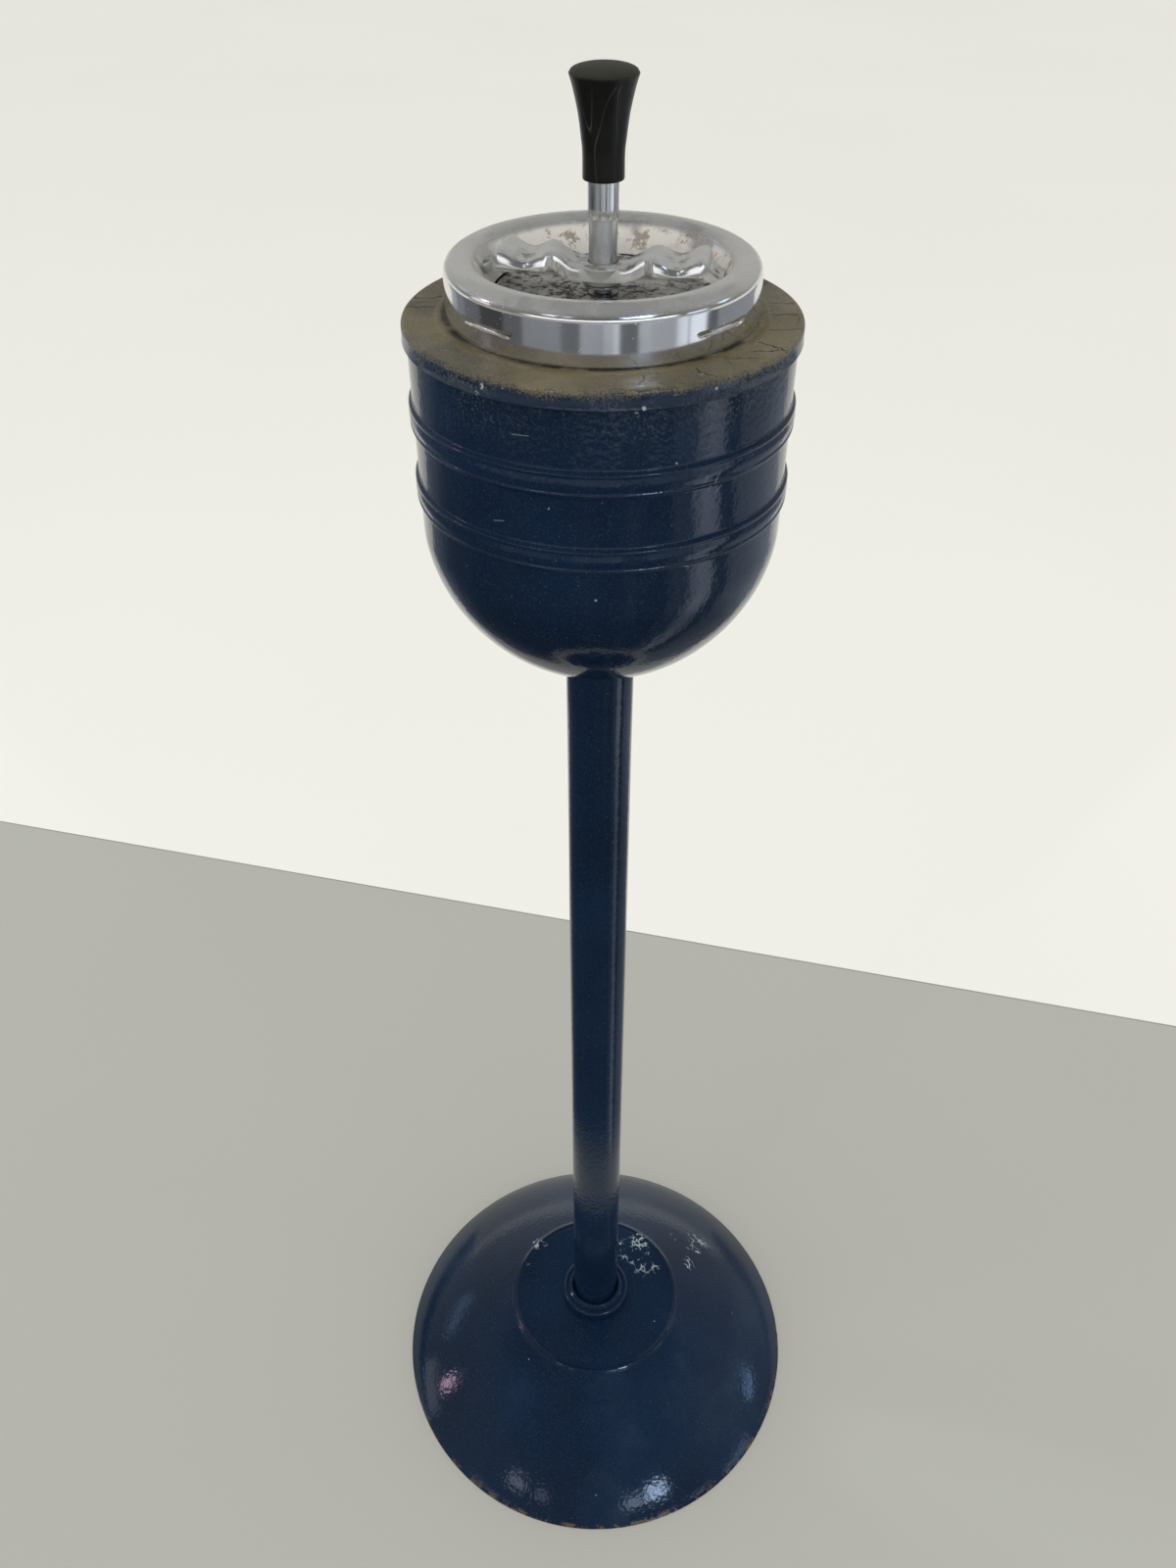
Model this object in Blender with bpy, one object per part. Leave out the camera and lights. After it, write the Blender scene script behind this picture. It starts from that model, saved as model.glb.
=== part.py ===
"""Free-standing push-and-spin ashtray.

A weighted pressed-steel foot carries a tube stem and a round-bottomed cup. A lid closes the cup down to a
neck, and a chromed tray unit lifts off that neck. Pressing the knob lowers the tray disc, and a twisted
spindle spins it. Units are metres, +Z is up, the origin is on the floor below the axis, the front is -Y.
"""
import math

import bmesh
import bpy
from mathutils import Matrix, Vector

# ---- clearances ----
GAP = 0.0003            # between pieces that touch or seat
SLIDE_GAP = 0.0002      # radial clearance of the sleeve on the guide tube

# ---- facets ----
ROUND_STEPS = 48        # large turned pieces
SMALL_STEPS = 24        # turned pieces about the spindle

# ---- foot ----
FOOT_RADIUS = 0.1265
FOOT_SHEET = 0.0012
FOOT_BEAD_RADIUS = 0.053
FOOT_BEAD_HALF_WIDTH = 0.0014
FOOT_BEAD_PROUD = 0.0010
FOOT_CROWN_Z = 0.056            # flat top of the dome, under the collar
FOOT_CROWN_FALL = 0.0032        # from the flat top down to the dome at the bead
FOOT_TOP_SLOPE = math.radians(27.0)
FOOT_RIM_SLOPE = math.radians(50.0)
PAD_THICKNESS = 0.0032
PAD_INSET = 0.0055              # rim radius less pad radius
PAD_HOLE_RADIUS = 0.020

# ---- foot weight ----
WEIGHT_INSET = 0.0345           # rim radius less weight radius
WEIGHT_THICKNESS = 0.0125
WEIGHT_BOSS_RADIUS = 0.024
WEIGHT_POCKET_RADIUS = 0.014
WEIGHT_POCKET_TOP_Z = 0.030

# ---- stem ----
STEM_RADIUS = 0.014
STEM_WALL = 0.0015
STEM_LENGTH = 0.510
COLLAR_WIDTH = 0.0074
COLLAR_HEIGHT = 0.0098
PLUG_LENGTH = 0.018
ROD_RADIUS = 0.004
ROD_CLEARANCE = 0.0004
ROD_TAIL = 0.006                # rod beyond each nut
NUT_ACROSS_FLATS = 0.013
NUT_HEIGHT = 0.0065
WASHER_RADIUS = 0.012
WASHER_THICKNESS = 0.0016

# ---- cup ----
CUP_TAPER = 0.0005              # how much wider the wall is at its top than at the bowl
CUP_SHEET = 0.0012
CUP_SEAT_MARGIN = 0.0005        # flat underside beyond the stem
CUP_BOWL_DEPTH = 0.0645
CUP_BOWL_POWER = 1.84           # 2 is a circle
CUP_WALL_HEIGHT = 0.0745
BAND_HEIGHTS = (0.0168, 0.0443)     # middles of the raised bands above the foot of the wall
BAND_HALF_HEIGHT = 0.0047
BAND_PROUD = 0.0014

# ---- lid ----
LID_SHEET = 0.0012
LID_SKIRT_HEIGHT = 0.0067
LID_CORNER = 0.0014
LID_LEDGE = 0.0106              # from the step out to the cup's wall
LID_STEP_MARGIN = 0.0029        # step beyond the ring
LID_STEP_HEIGHT = 0.0006
NECK_RADIUS = 0.0515            # the ring, the lid and the cup take their radii from the neck
NECK_HEIGHT = 0.0084

# ---- tray ring ----
RING_CLEARANCE = 0.0011                  # of the skirt around the neck
RING_HEIGHT = 0.0186
RING_SHEET = 0.0010
RING_OUTER_ROLL = (0.0054, 0.0052)      # half-width and height of the outer rounding
RING_TOP_WIDTH = 0.0104
RING_INNER_ROLL_HEIGHT = 0.0030
FUNNEL_TAPER = 0.0059
FUNNEL_END_HEIGHT = 0.0070              # above the foot of the ring
DENT_ANGLES = (math.radians(-135.0), math.radians(-45.0), math.radians(45.0), math.radians(135.0))
DENT_HEIGHT = 0.0068                    # above the foot of the ring
DENT_HALF_HEIGHT = 0.0008
DENT_HALF_ANGLE = math.radians(11.0)
DENT_DEPTH = 0.0005

# ---- rest bridge, heights measured from its hub's top ----
BRIDGE_TURN = math.radians(-9.5)
BRIDGE_HUB_BELOW_RING_TOP = 0.0027
BRIDGE_END_INSET = 0.0040                # mouth radius less half-length
BRIDGE_END_LEAN = 0.0016                # the ends slope outwards beside the funnel
REST_PEAKS = (0.0218, 0.0055)           # inner and outer peak beside each rest, from the bar's end
REST_MIDDLE = 0.0139                    # bottom of each rest, from the bar's end
BRIDGE_EDGE = 0.0008
HUB_TOP_RADIUS = 0.0097
HUB_FOOT_RADIUS = 0.0072
HUB_DROP = 0.0068
TONGUE_HALF_WIDTH = 0.0040
TONGUE_THICKNESS = 0.0010
TONGUE_RISE = 0.0042                    # underside of the tongue below the hub's top
TONGUE_REACH = 0.0048                   # beyond the end of the bridge

# ---- guide tube and plunger ----
STROKE = 0.0135
GUIDE_RADIUS = 0.0048
GUIDE_WALL = 0.0008
GUIDE_FLANGE_MARGIN = 0.0017
GUIDE_FLANGE = 0.0007
SLEEVE_WALL = 0.0003
SLEEVE_SHOWING = 0.0116                 # sleeve below the knob
KNOB_HEIGHT = 0.0332
KNOB_SIDE = ((0.00685, 0.0004), (0.00685, 0.0077), (0.0073, 0.0123), (0.0082, 0.0190), (0.0097, 0.0257),
             (0.01105, 0.0302))         # radius and height of its waisted side
KNOB_RIM = 0.0005
KNOB_BORE_DEPTH = 0.0257
INSERT_HEIGHT = 0.0080
INSERT_POCKET = 0.0032
THRUST_WASHER_THICKNESS = 0.0005

# ---- spindle and its drive ----
SPINDLE_PITCH = 0.030                   # rise of one full turn of the twisted strip
STRIP_HALF_WIDTH = 0.0024
STRIP_HALF_THICKNESS = 0.0006
STRIP_SECTIONS = 14
DRIVE_NUT_THICKNESS = 0.0012
SPINDLE_SHAFT_RADIUS = 0.0016
SPINDLE_HEAD_RADIUS = 0.0026
SPINDLE_HEAD_HEIGHT = 0.0020
SPINDLE_FLANGE_RADIUS = 0.0032
SPINDLE_FLANGE = 0.0012
SPINDLE_FLANGE_DROP = 0.0009            # flange top below the guide tube
JOURNAL_RADIUS = 0.0020
JOURNAL_LENGTH = 0.0129
SPRING_SIDE_GAP = 0.0008                # from the wire's middle to the guide tube's bore
SPRING_WIRE_RADIUS = 0.00035
SPRING_TURNS = 10

# ---- tray disc ----
DISC_CLEARANCE = 0.0005                 # inside the funnel's end
DISC_SHEET = 0.0009
DISC_DISH = 0.0013
DISC_SPIGOT_RADIUS = 0.0050
DISC_HUB_RADIUS = 0.0090
DISC_HUB_HEIGHT = 0.0040
RATCHET_TEETH = 6
RATCHET_TOOTH = 0.0008
RATCHET_RADIUS = 0.0080
RATCHET_THICKNESS = 0.0014
SPINDLE_NUT_ACROSS_FLATS = 0.0075
SPINDLE_NUT_HEIGHT = 0.0026

# ---- radii and lengths worked out from the sizes above ----
WEIGHT_RADIUS = FOOT_RADIUS - WEIGHT_INSET
COLLAR_RADIUS = STEM_RADIUS + COLLAR_WIDTH
CUP_SEAT_RADIUS = STEM_RADIUS + CUP_SEAT_MARGIN
RING_RADIUS = NECK_RADIUS + RING_CLEARANCE + RING_SHEET
LID_STEP_RADIUS = RING_RADIUS + LID_STEP_MARGIN
CUP_RADIUS = LID_STEP_RADIUS + LID_LEDGE
CUP_TOP_RADIUS = CUP_RADIUS + CUP_TAPER
RING_MOUTH_RADIUS = RING_RADIUS - RING_TOP_WIDTH
FUNNEL_END_RADIUS = RING_MOUTH_RADIUS - FUNNEL_TAPER
DISC_RADIUS = FUNNEL_END_RADIUS - DISC_CLEARANCE
BRIDGE_HALF_LENGTH = RING_MOUTH_RADIUS - BRIDGE_END_INSET
GUIDE_FLANGE_RADIUS = GUIDE_RADIUS + GUIDE_FLANGE_MARGIN
SPRING_RADIUS = GUIDE_RADIUS - GUIDE_WALL - SPRING_SIDE_GAP

# ---- lines of the bridge: distance along it, and height above the hub's top or half-width ----
INNER_PEAK, OUTER_PEAK = (BRIDGE_HALF_LENGTH - inset for inset in REST_PEAKS)
REST_BOTTOM = BRIDGE_HALF_LENGTH - REST_MIDDLE
BRIDGE_TOP_LINE = ((0.0, 0.0), (0.008, 0.0), (INNER_PEAK, 0.0038), (REST_BOTTOM, 0.0012),
                   (OUTER_PEAK, 0.0044), (BRIDGE_HALF_LENGTH, -0.0020))
BRIDGE_UNDER_LINE = ((0.0, -0.0052), (0.009, -0.0050), (INNER_PEAK, -0.0018), (OUTER_PEAK, -0.0014),
                     (BRIDGE_HALF_LENGTH, -0.0048))
BRIDGE_WAIST = (0.010 + INNER_PEAK) / 2 + 0.001
BRIDGE_WIDTH_LINE = ((0.0, 0.0080), (0.010, 0.0082), (BRIDGE_WAIST, 0.0076), (INNER_PEAK + 0.0011, 0.0102),
                     (REST_BOTTOM, 0.0098), (OUTER_PEAK, 0.0103), (BRIDGE_HALF_LENGTH, 0.0060))

# ---- heights worked out from the sizes above ----
FOOT_SHOULDER_Z = FOOT_CROWN_Z - FOOT_CROWN_FALL
STEM_BOTTOM_Z = FOOT_CROWN_Z + GAP
STEM_TOP_Z = STEM_BOTTOM_Z + STEM_LENGTH
CUP_SEAT_Z = STEM_TOP_Z + GAP
CUP_SEAT_SHARE = (CUP_SEAT_RADIUS / CUP_RADIUS) ** CUP_BOWL_POWER
CUP_SEAT_RISE = CUP_BOWL_DEPTH * (1 - CUP_SEAT_SHARE) ** (1 / CUP_BOWL_POWER)
CUP_EQUATOR_Z = CUP_SEAT_Z + CUP_SEAT_RISE
CUP_RIM_Z = CUP_EQUATOR_Z + CUP_WALL_HEIGHT
LID_TOP_Z = CUP_RIM_Z + GAP + LID_SHEET
LID_STEP_Z = LID_TOP_Z + LID_STEP_HEIGHT
NECK_TOP_Z = LID_STEP_Z + NECK_HEIGHT
RING_FOOT_Z = LID_STEP_Z + GAP
RING_TOP_Z = RING_FOOT_Z + RING_HEIGHT
FUNNEL_END_Z = RING_FOOT_Z + FUNNEL_END_HEIGHT
HUB_TOP_Z = RING_TOP_Z - BRIDGE_HUB_BELOW_RING_TOP
HUB_FOOT_Z = HUB_TOP_Z - HUB_DROP
GUIDE_FOOT_Z = HUB_FOOT_Z - GAP - GUIDE_FLANGE
SLEEVE_RADIUS = GUIDE_RADIUS + SLIDE_GAP + SLEEVE_WALL
SLEEVE_FOOT_Z = HUB_TOP_Z + STROKE + GAP
KNOB_FOOT_Z = SLEEVE_FOOT_Z + SLEEVE_SHOWING
KNOB_BORE_TOP_Z = KNOB_FOOT_Z + KNOB_BORE_DEPTH
SLEEVE_TOP_Z = KNOB_BORE_TOP_Z - GAP
INSERT_TOP_Z = SLEEVE_TOP_Z - GAP
INSERT_FOOT_Z = INSERT_TOP_Z - INSERT_HEIGHT
GUIDE_TOP_Z = INSERT_FOOT_Z - STROKE - THRUST_WASHER_THICKNESS - 3 * GAP
THRUST_WASHER_Z = INSERT_FOOT_Z - GAP - THRUST_WASHER_THICKNESS
DRIVE_NUT_Z = GUIDE_FOOT_Z + GUIDE_FLANGE
SPRING_FOOT_Z = DRIVE_NUT_Z + DRIVE_NUT_THICKNESS + GAP
SPRING_TOP_Z = THRUST_WASHER_Z - GAP
HEAD_FOOT_Z = INSERT_TOP_Z - INSERT_POCKET + GAP
FLANGE_TOP_Z = GUIDE_FOOT_Z - SPINDLE_FLANGE_DROP
FLANGE_FOOT_Z = FLANGE_TOP_Z - SPINDLE_FLANGE
SPINDLE_FOOT_Z = FLANGE_FOOT_Z - JOURNAL_LENGTH
STRIP_TOP_Z = DRIVE_NUT_Z + DRIVE_NUT_THICKNESS + STROKE + GAP
SPIGOT_TOP_Z = FLANGE_FOOT_Z - GAP
DISC_HUB_TOP_Z = SPIGOT_TOP_Z - DISC_SHEET - 2 * GAP
DISC_HUB_FOOT_Z = DISC_HUB_TOP_Z - DISC_HUB_HEIGHT
RATCHET_TOP_Z = DISC_HUB_FOOT_Z - GAP
RATCHET_FOOT_Z = RATCHET_TOP_Z - RATCHET_THICKNESS - RATCHET_TOOTH

# ---- colours and finishes: base colour, metallic, roughness ----
BLUE_PAINT = ((0.010, 0.035, 0.105, 1.0), 0.0, 0.25)
BRONZE_LACQUER = ((0.155, 0.120, 0.055, 1.0), 0.25, 0.5)
CHROME = ((0.75, 0.75, 0.76, 1.0), 1.0, 0.12)
DULL_CHROME = ((0.45, 0.47, 0.50, 1.0), 1.0, 0.3)
TARRED_STEEL = ((0.27, 0.29, 0.31, 1.0), 0.7, 0.45)
BLACK_PLASTIC = ((0.018, 0.018, 0.017, 1.0), 0.0, 0.35)
CAST_IRON = ((0.08, 0.08, 0.085, 1.0), 0.8, 0.7)
ZINC_STEEL = ((0.50, 0.50, 0.48, 1.0), 1.0, 0.35)
BRASS = ((0.60, 0.42, 0.16, 1.0), 1.0, 0.3)
BEECH = ((0.50, 0.34, 0.19, 1.0), 0.0, 0.7)
FELT = ((0.05, 0.05, 0.05, 1.0), 0.0, 0.95)


# ======== building tools ========

def clear_scene():
    """Remove every object of the start-up scene."""
    for thing in list(bpy.data.objects):
        bpy.data.objects.remove(thing, do_unlink=True)


def material(name, finish):
    """Return a Principled material, made once for each finish."""
    made = bpy.data.materials.get(name)
    if made is None:
        colour, metallic, roughness = finish
        made = bpy.data.materials.new(name)
        made.use_nodes = True
        shader = made.node_tree.nodes["Principled BSDF"]
        shader.inputs["Base Color"].default_value = colour
        shader.inputs["Metallic"].default_value = metallic
        shader.inputs["Roughness"].default_value = roughness
    return made


def finish_object(name, mesh_builder, finish_name, finish):
    """Turn a bmesh into a named object with outward faces, smooth shading and its material."""
    bmesh.ops.recalc_face_normals(mesh_builder, faces=mesh_builder.faces)
    mesh = bpy.data.meshes.new(name)
    mesh_builder.to_mesh(mesh)
    mesh_builder.free()
    mesh.shade_smooth()
    mesh.set_sharp_from_angle(angle=math.radians(35.0))
    mesh.materials.append(material(finish_name, finish))
    thing = bpy.data.objects.new(name, mesh)
    bpy.context.scene.collection.objects.link(thing)
    return thing


def turned(name, outline, steps, finish_name, finish):
    """Spin an outline of (radius, height) points about Z; an outline that ends on the axis is solid."""
    solid = outline[0][0] == 0.0 and outline[-1][0] == 0.0
    shape = bmesh.new()
    points = [shape.verts.new((radius, 0.0, height)) for radius, height in outline]
    pairs = list(zip(points, points[1:]))
    if not solid:
        pairs.append((points[-1], points[0]))
    edges = [shape.edges.new(pair) for pair in pairs]
    bmesh.ops.spin(shape, geom=points + edges, cent=(0, 0, 0), axis=(0, 0, 1), angle=math.tau,
                   steps=steps, use_merge=True)
    bmesh.ops.remove_doubles(shape, verts=shape.verts, dist=1e-6)
    return finish_object(name, shape, finish_name, finish)


def lofted(name, rings, closed, finish_name, finish):
    """Join rings of points; a closed loft returns to its first ring, an open one gets end faces."""
    shape = bmesh.new()
    loops = [[shape.verts.new(point) for point in ring] for ring in rings]
    pairs = list(zip(loops, loops[1:]))
    if closed:
        pairs.append((loops[-1], loops[0]))
    else:
        shape.faces.new(loops[0])
        shape.faces.new(loops[-1])
    for here, there in pairs:
        count = len(here)
        for i in range(count):
            shape.faces.new((here[i], here[(i + 1) % count], there[(i + 1) % count], there[i]))
    return finish_object(name, shape, finish_name, finish)


def prism(name, radius, low, high, sides, finish_name, finish, turn=0.0):
    """An upright prism with the given corner radius."""
    shape = bmesh.new()
    place = Matrix.Translation((0, 0, (low + high) / 2)) @ Matrix.Rotation(turn, 4, "Z")
    bmesh.ops.create_cone(shape, cap_ends=True, segments=sides, radius1=radius, radius2=radius,
                          depth=high - low, matrix=place)
    return finish_object(name, shape, finish_name, finish)


def block(name, size, centre, finish_name, finish, turn=0.0):
    """A box of the given size, turned about Z after it is placed."""
    shape = bmesh.new()
    place = Matrix.Rotation(turn, 4, "Z") @ Matrix.Translation(centre) @ Matrix.Diagonal((*size, 1.0))
    bmesh.ops.create_cube(shape, size=1.0, matrix=place)
    return finish_object(name, shape, finish_name, finish)


def combine(target, tool, operation):
    """Apply a tool object to a target by a Boolean modifier, and keep the tool out of sight."""
    cut = target.modifiers.new(tool.name, "BOOLEAN")
    cut.operation = operation
    cut.solver = "EXACT"
    cut.object = tool
    tool.hide_render = True
    tool.display_type = "WIRE"


def arc(centre, radii, start, end, steps):
    """Points of an elliptical arc, by angles in degrees from the +radius direction."""
    angles = [math.radians(start + (end - start) * i / steps) for i in range(steps + 1)]
    return [(centre[0] + radii[0] * math.cos(a), centre[1] + radii[1] * math.sin(a)) for a in angles]


def eased(line, place):
    """Read a value from a line of (place, value) points, with a level tangent at each point."""
    for (near, low), (far, high) in zip(line, line[1:]):
        if place <= far:
            share = (place - near) / (far - near)
            return low + (high - low) * (1 - math.cos(math.pi * share)) / 2
    return line[-1][1]


def offset_line(line, distance):
    """Move an open line of (radius, height) points sideways, to the right of its direction."""
    moved = []
    for i, (radius, height) in enumerate(line):
        before = line[max(i - 1, 0)]
        after = line[min(i + 1, len(line) - 1)]
        run, rise = after[0] - before[0], after[1] - before[1]
        length = math.hypot(run, rise)
        moved.append((radius + distance * rise / length, height - distance * run / length))
    return moved


def hex_nut(name, across_flats, low, height, bore_radius, finish_name, finish):
    """A plain hexagon nut with a through bore."""
    corner = across_flats / 2 / math.cos(math.pi / 6)
    nut = prism(name, corner, low, low + height, 6, finish_name, finish)
    bore = prism(name + "_bore_cutter", bore_radius, low - height, low + 2 * height, SMALL_STEPS,
                 finish_name, finish)
    combine(nut, bore, "DIFFERENCE")
    return nut


def washer(name, radius, bore_radius, low, thickness, steps, finish_name, finish):
    """A flat round washer."""
    outline = [(bore_radius, low), (radius, low), (radius, low + thickness), (bore_radius, low + thickness)]
    return turned(name, outline, steps, finish_name, finish)


# ======== foot ========

def dome_line(steps):
    """Outer line of the foot from its shoulder down to its rim, as a Bezier curve."""
    span = FOOT_RADIUS - FOOT_BEAD_RADIUS
    reach_top, reach_rim = 0.41 * span, 0.34 * span
    start = (FOOT_BEAD_RADIUS, FOOT_SHOULDER_Z)
    end = (FOOT_RADIUS, 0.0)
    pull_top = (start[0] + reach_top * math.cos(FOOT_TOP_SLOPE),
                start[1] - reach_top * math.sin(FOOT_TOP_SLOPE))
    pull_rim = (end[0] - reach_rim * math.cos(FOOT_RIM_SLOPE),
                end[1] + reach_rim * math.sin(FOOT_RIM_SLOPE))
    line = []
    for i in range(steps + 1):
        t = i / steps
        weights = ((1 - t) ** 3, 3 * t * (1 - t) ** 2, 3 * t * t * (1 - t), t ** 3)
        corners = (start, pull_top, pull_rim, end)
        line.append(tuple(sum(w * corner[axis] for w, corner in zip(weights, corners)) for axis in (0, 1)))
    return line


def crown_line():
    """Outer line of the foot from its flat crown out to the bead."""
    foot_of_bead = (FOOT_BEAD_RADIUS - FOOT_BEAD_HALF_WIDTH, FOOT_SHOULDER_Z + FOOT_BEAD_PROUD / 3)
    return [(COLLAR_RADIUS, FOOT_CROWN_Z), foot_of_bead]


def build_foot():
    """The pressed dome, its iron weight and the felt pad below it."""
    bore = ROD_RADIUS + ROD_CLEARANCE
    bead = arc((FOOT_BEAD_RADIUS, FOOT_SHOULDER_Z), (FOOT_BEAD_HALF_WIDTH * 0.7, FOOT_BEAD_PROUD), 150, 20, 4)
    dome = dome_line(10)
    outer = [(bore, FOOT_CROWN_Z)] + crown_line() + bead + dome[1:]
    inner = offset_line(dome_line(7), FOOT_SHEET)
    rim_thickness = FOOT_SHEET / math.sin(FOOT_RIM_SLOPE)
    inner[-1] = (FOOT_RADIUS - rim_thickness, 0.0)
    under = [(bore, FOOT_CROWN_Z - FOOT_SHEET), (COLLAR_RADIUS, FOOT_CROWN_Z - FOOT_SHEET)]
    turned("foot_shell", outer + inner[::-1] + under[::-1], ROUND_STEPS, "blue_paint", BLUE_PAINT)

    pad_radius = FOOT_RADIUS - PAD_INSET
    washer("foot_pad", pad_radius, PAD_HOLE_RADIUS, 0.0, PAD_THICKNESS, ROUND_STEPS, "felt", FELT)

    weight_low = PAD_THICKNESS + GAP
    weight_high = weight_low + WEIGHT_THICKNESS
    boss_top = FOOT_CROWN_Z - FOOT_SHEET - GAP
    boss_slope = WEIGHT_BOSS_RADIUS - 0.25 * (WEIGHT_BOSS_RADIUS - WEIGHT_POCKET_RADIUS)
    outline = [(WEIGHT_POCKET_RADIUS, weight_low), (WEIGHT_RADIUS, weight_low),
               (WEIGHT_RADIUS, weight_high - FOOT_SHEET), (WEIGHT_RADIUS - FOOT_SHEET, weight_high),
               (WEIGHT_BOSS_RADIUS, weight_high), (boss_slope, boss_top), (bore, boss_top),
               (bore, WEIGHT_POCKET_TOP_Z), (WEIGHT_POCKET_RADIUS, WEIGHT_POCKET_TOP_Z)]
    turned("foot_weight", outline, SMALL_STEPS, "cast_iron", CAST_IRON)


# ======== stem and tie rod ========

def build_stem():
    """The tube, the collar around its foot and the plugs that centre the tie rod."""
    tube_bore = STEM_RADIUS - STEM_WALL
    outline = [(tube_bore, STEM_BOTTOM_Z), (STEM_RADIUS, STEM_BOTTOM_Z),
               (STEM_RADIUS, STEM_TOP_Z), (tube_bore, STEM_TOP_Z)]
    turned("stem_tube", outline, ROUND_STEPS, "blue_paint", BLUE_PAINT)

    bore = STEM_RADIUS + GAP
    low, high = FOOT_CROWN_Z + GAP, FOOT_CROWN_Z + COLLAR_HEIGHT
    ridge = bore + 0.35 * (COLLAR_RADIUS - bore)
    roll = (COLLAR_RADIUS - ridge) / 2
    shoulder = low + 0.55 * COLLAR_HEIGHT
    outline = [(bore, low), (COLLAR_RADIUS - 0.2 * roll, low)]
    outline += arc((COLLAR_RADIUS - roll, shoulder), (roll, roll), -40, 110, 6)
    outline += arc(((bore + ridge) / 2, high - (ridge - bore) / 2), ((ridge - bore) / 2,) * 2, 0, 180, 5)
    turned("foot_collar", outline, SMALL_STEPS, "blue_paint", BLUE_PAINT)

    rod_bore = ROD_RADIUS + ROD_CLEARANCE
    plug_radius = tube_bore - GAP
    for name, low in (("stem_plug_lower", STEM_BOTTOM_Z), ("stem_plug_upper", STEM_TOP_Z - PLUG_LENGTH)):
        washer(name, plug_radius, rod_bore, low, PLUG_LENGTH, SMALL_STEPS, "beech", BEECH)


def build_tie_rod():
    """The rod that clamps foot, stem and cup together, with a nut and washer at each end."""
    floor_top = CUP_SEAT_Z + CUP_SHEET
    bore = ROD_RADIUS + ROD_CLEARANCE
    washer_radius = min(WASHER_RADIUS, WEIGHT_POCKET_RADIUS - 2 * GAP)
    lower_washer_z = WEIGHT_POCKET_TOP_Z - GAP - WASHER_THICKNESS
    lower_nut_z = lower_washer_z - GAP - NUT_HEIGHT
    upper_washer_z = floor_top + GAP
    upper_nut_z = upper_washer_z + WASHER_THICKNESS + GAP
    washer("lower_washer", washer_radius, bore, lower_washer_z, WASHER_THICKNESS, SMALL_STEPS,
           "zinc_steel", ZINC_STEEL)
    washer("upper_washer", washer_radius, bore, upper_washer_z, WASHER_THICKNESS, SMALL_STEPS,
           "zinc_steel", ZINC_STEEL)
    hex_nut("lower_nut", NUT_ACROSS_FLATS, lower_nut_z, NUT_HEIGHT, bore, "zinc_steel", ZINC_STEEL)
    hex_nut("upper_nut", NUT_ACROSS_FLATS, upper_nut_z, NUT_HEIGHT, bore, "zinc_steel", ZINC_STEEL)
    low = lower_nut_z - ROD_TAIL
    high = upper_nut_z + NUT_HEIGHT + ROD_TAIL
    chamfer = 0.25 * ROD_RADIUS
    outline = [(0.0, low), (ROD_RADIUS - chamfer, low), (ROD_RADIUS, low + chamfer),
               (ROD_RADIUS, high - chamfer), (ROD_RADIUS - chamfer, high), (0.0, high)]
    turned("tie_rod", outline, SMALL_STEPS, "zinc_steel", ZINC_STEEL)


# ======== cup and lid ========

def bowl_line(shrink, start_radius, steps):
    """Line of the bowl from its seat to its equator, moved inwards by the sheet when shrink is set."""
    radius, depth = CUP_RADIUS - shrink, CUP_BOWL_DEPTH - shrink
    first = math.asin((start_radius / radius) ** (CUP_BOWL_POWER / 2))
    line = []
    for i in range(steps + 1):
        angle = first + (math.pi / 2 - first) * i / steps
        out = radius * math.sin(angle) ** (2 / CUP_BOWL_POWER)
        down = depth * max(math.cos(angle), 0.0) ** (2 / CUP_BOWL_POWER)
        line.append((out, CUP_EQUATOR_Z - down))
    return line


def wall_radius(height):
    """Outer radius of the cup's wall at a height above its equator."""
    return CUP_RADIUS + (CUP_TOP_RADIUS - CUP_RADIUS) * height / CUP_WALL_HEIGHT


def band_line(middle):
    """Outer line over one raised band, from its lower edge to its upper edge."""
    line = []
    flank = ((-1.0, 0.0), (-0.8, 0.45), (-0.6, 0.85))
    for share, proud in flank + ((0.0, 1.0),) + tuple((-share, proud) for share, proud in flank[::-1]):
        height = middle + share * BAND_HALF_HEIGHT
        line.append((wall_radius(height) + proud * BAND_PROUD, CUP_EQUATOR_Z + height))
    return line


def build_cup():
    """The cup, drawn from sheet, with two raised bands and a hole for the tie rod."""
    bore = ROD_RADIUS + ROD_CLEARANCE
    outer = [(bore, CUP_SEAT_Z)] + bowl_line(0.0, CUP_SEAT_RADIUS, 9)
    for middle in BAND_HEIGHTS:
        outer += band_line(middle)
    outer += [(CUP_TOP_RADIUS, CUP_RIM_Z), (CUP_TOP_RADIUS - CUP_SHEET, CUP_RIM_Z)]
    inner = bowl_line(CUP_SHEET, CUP_SEAT_RADIUS, 7)
    inner = [(bore, CUP_SEAT_Z + CUP_SHEET)] + [(r, max(z, CUP_SEAT_Z + CUP_SHEET)) for r, z in inner]
    turned("cup_shell", outer + inner[::-1], ROUND_STEPS, "blue_paint", BLUE_PAINT)


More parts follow.
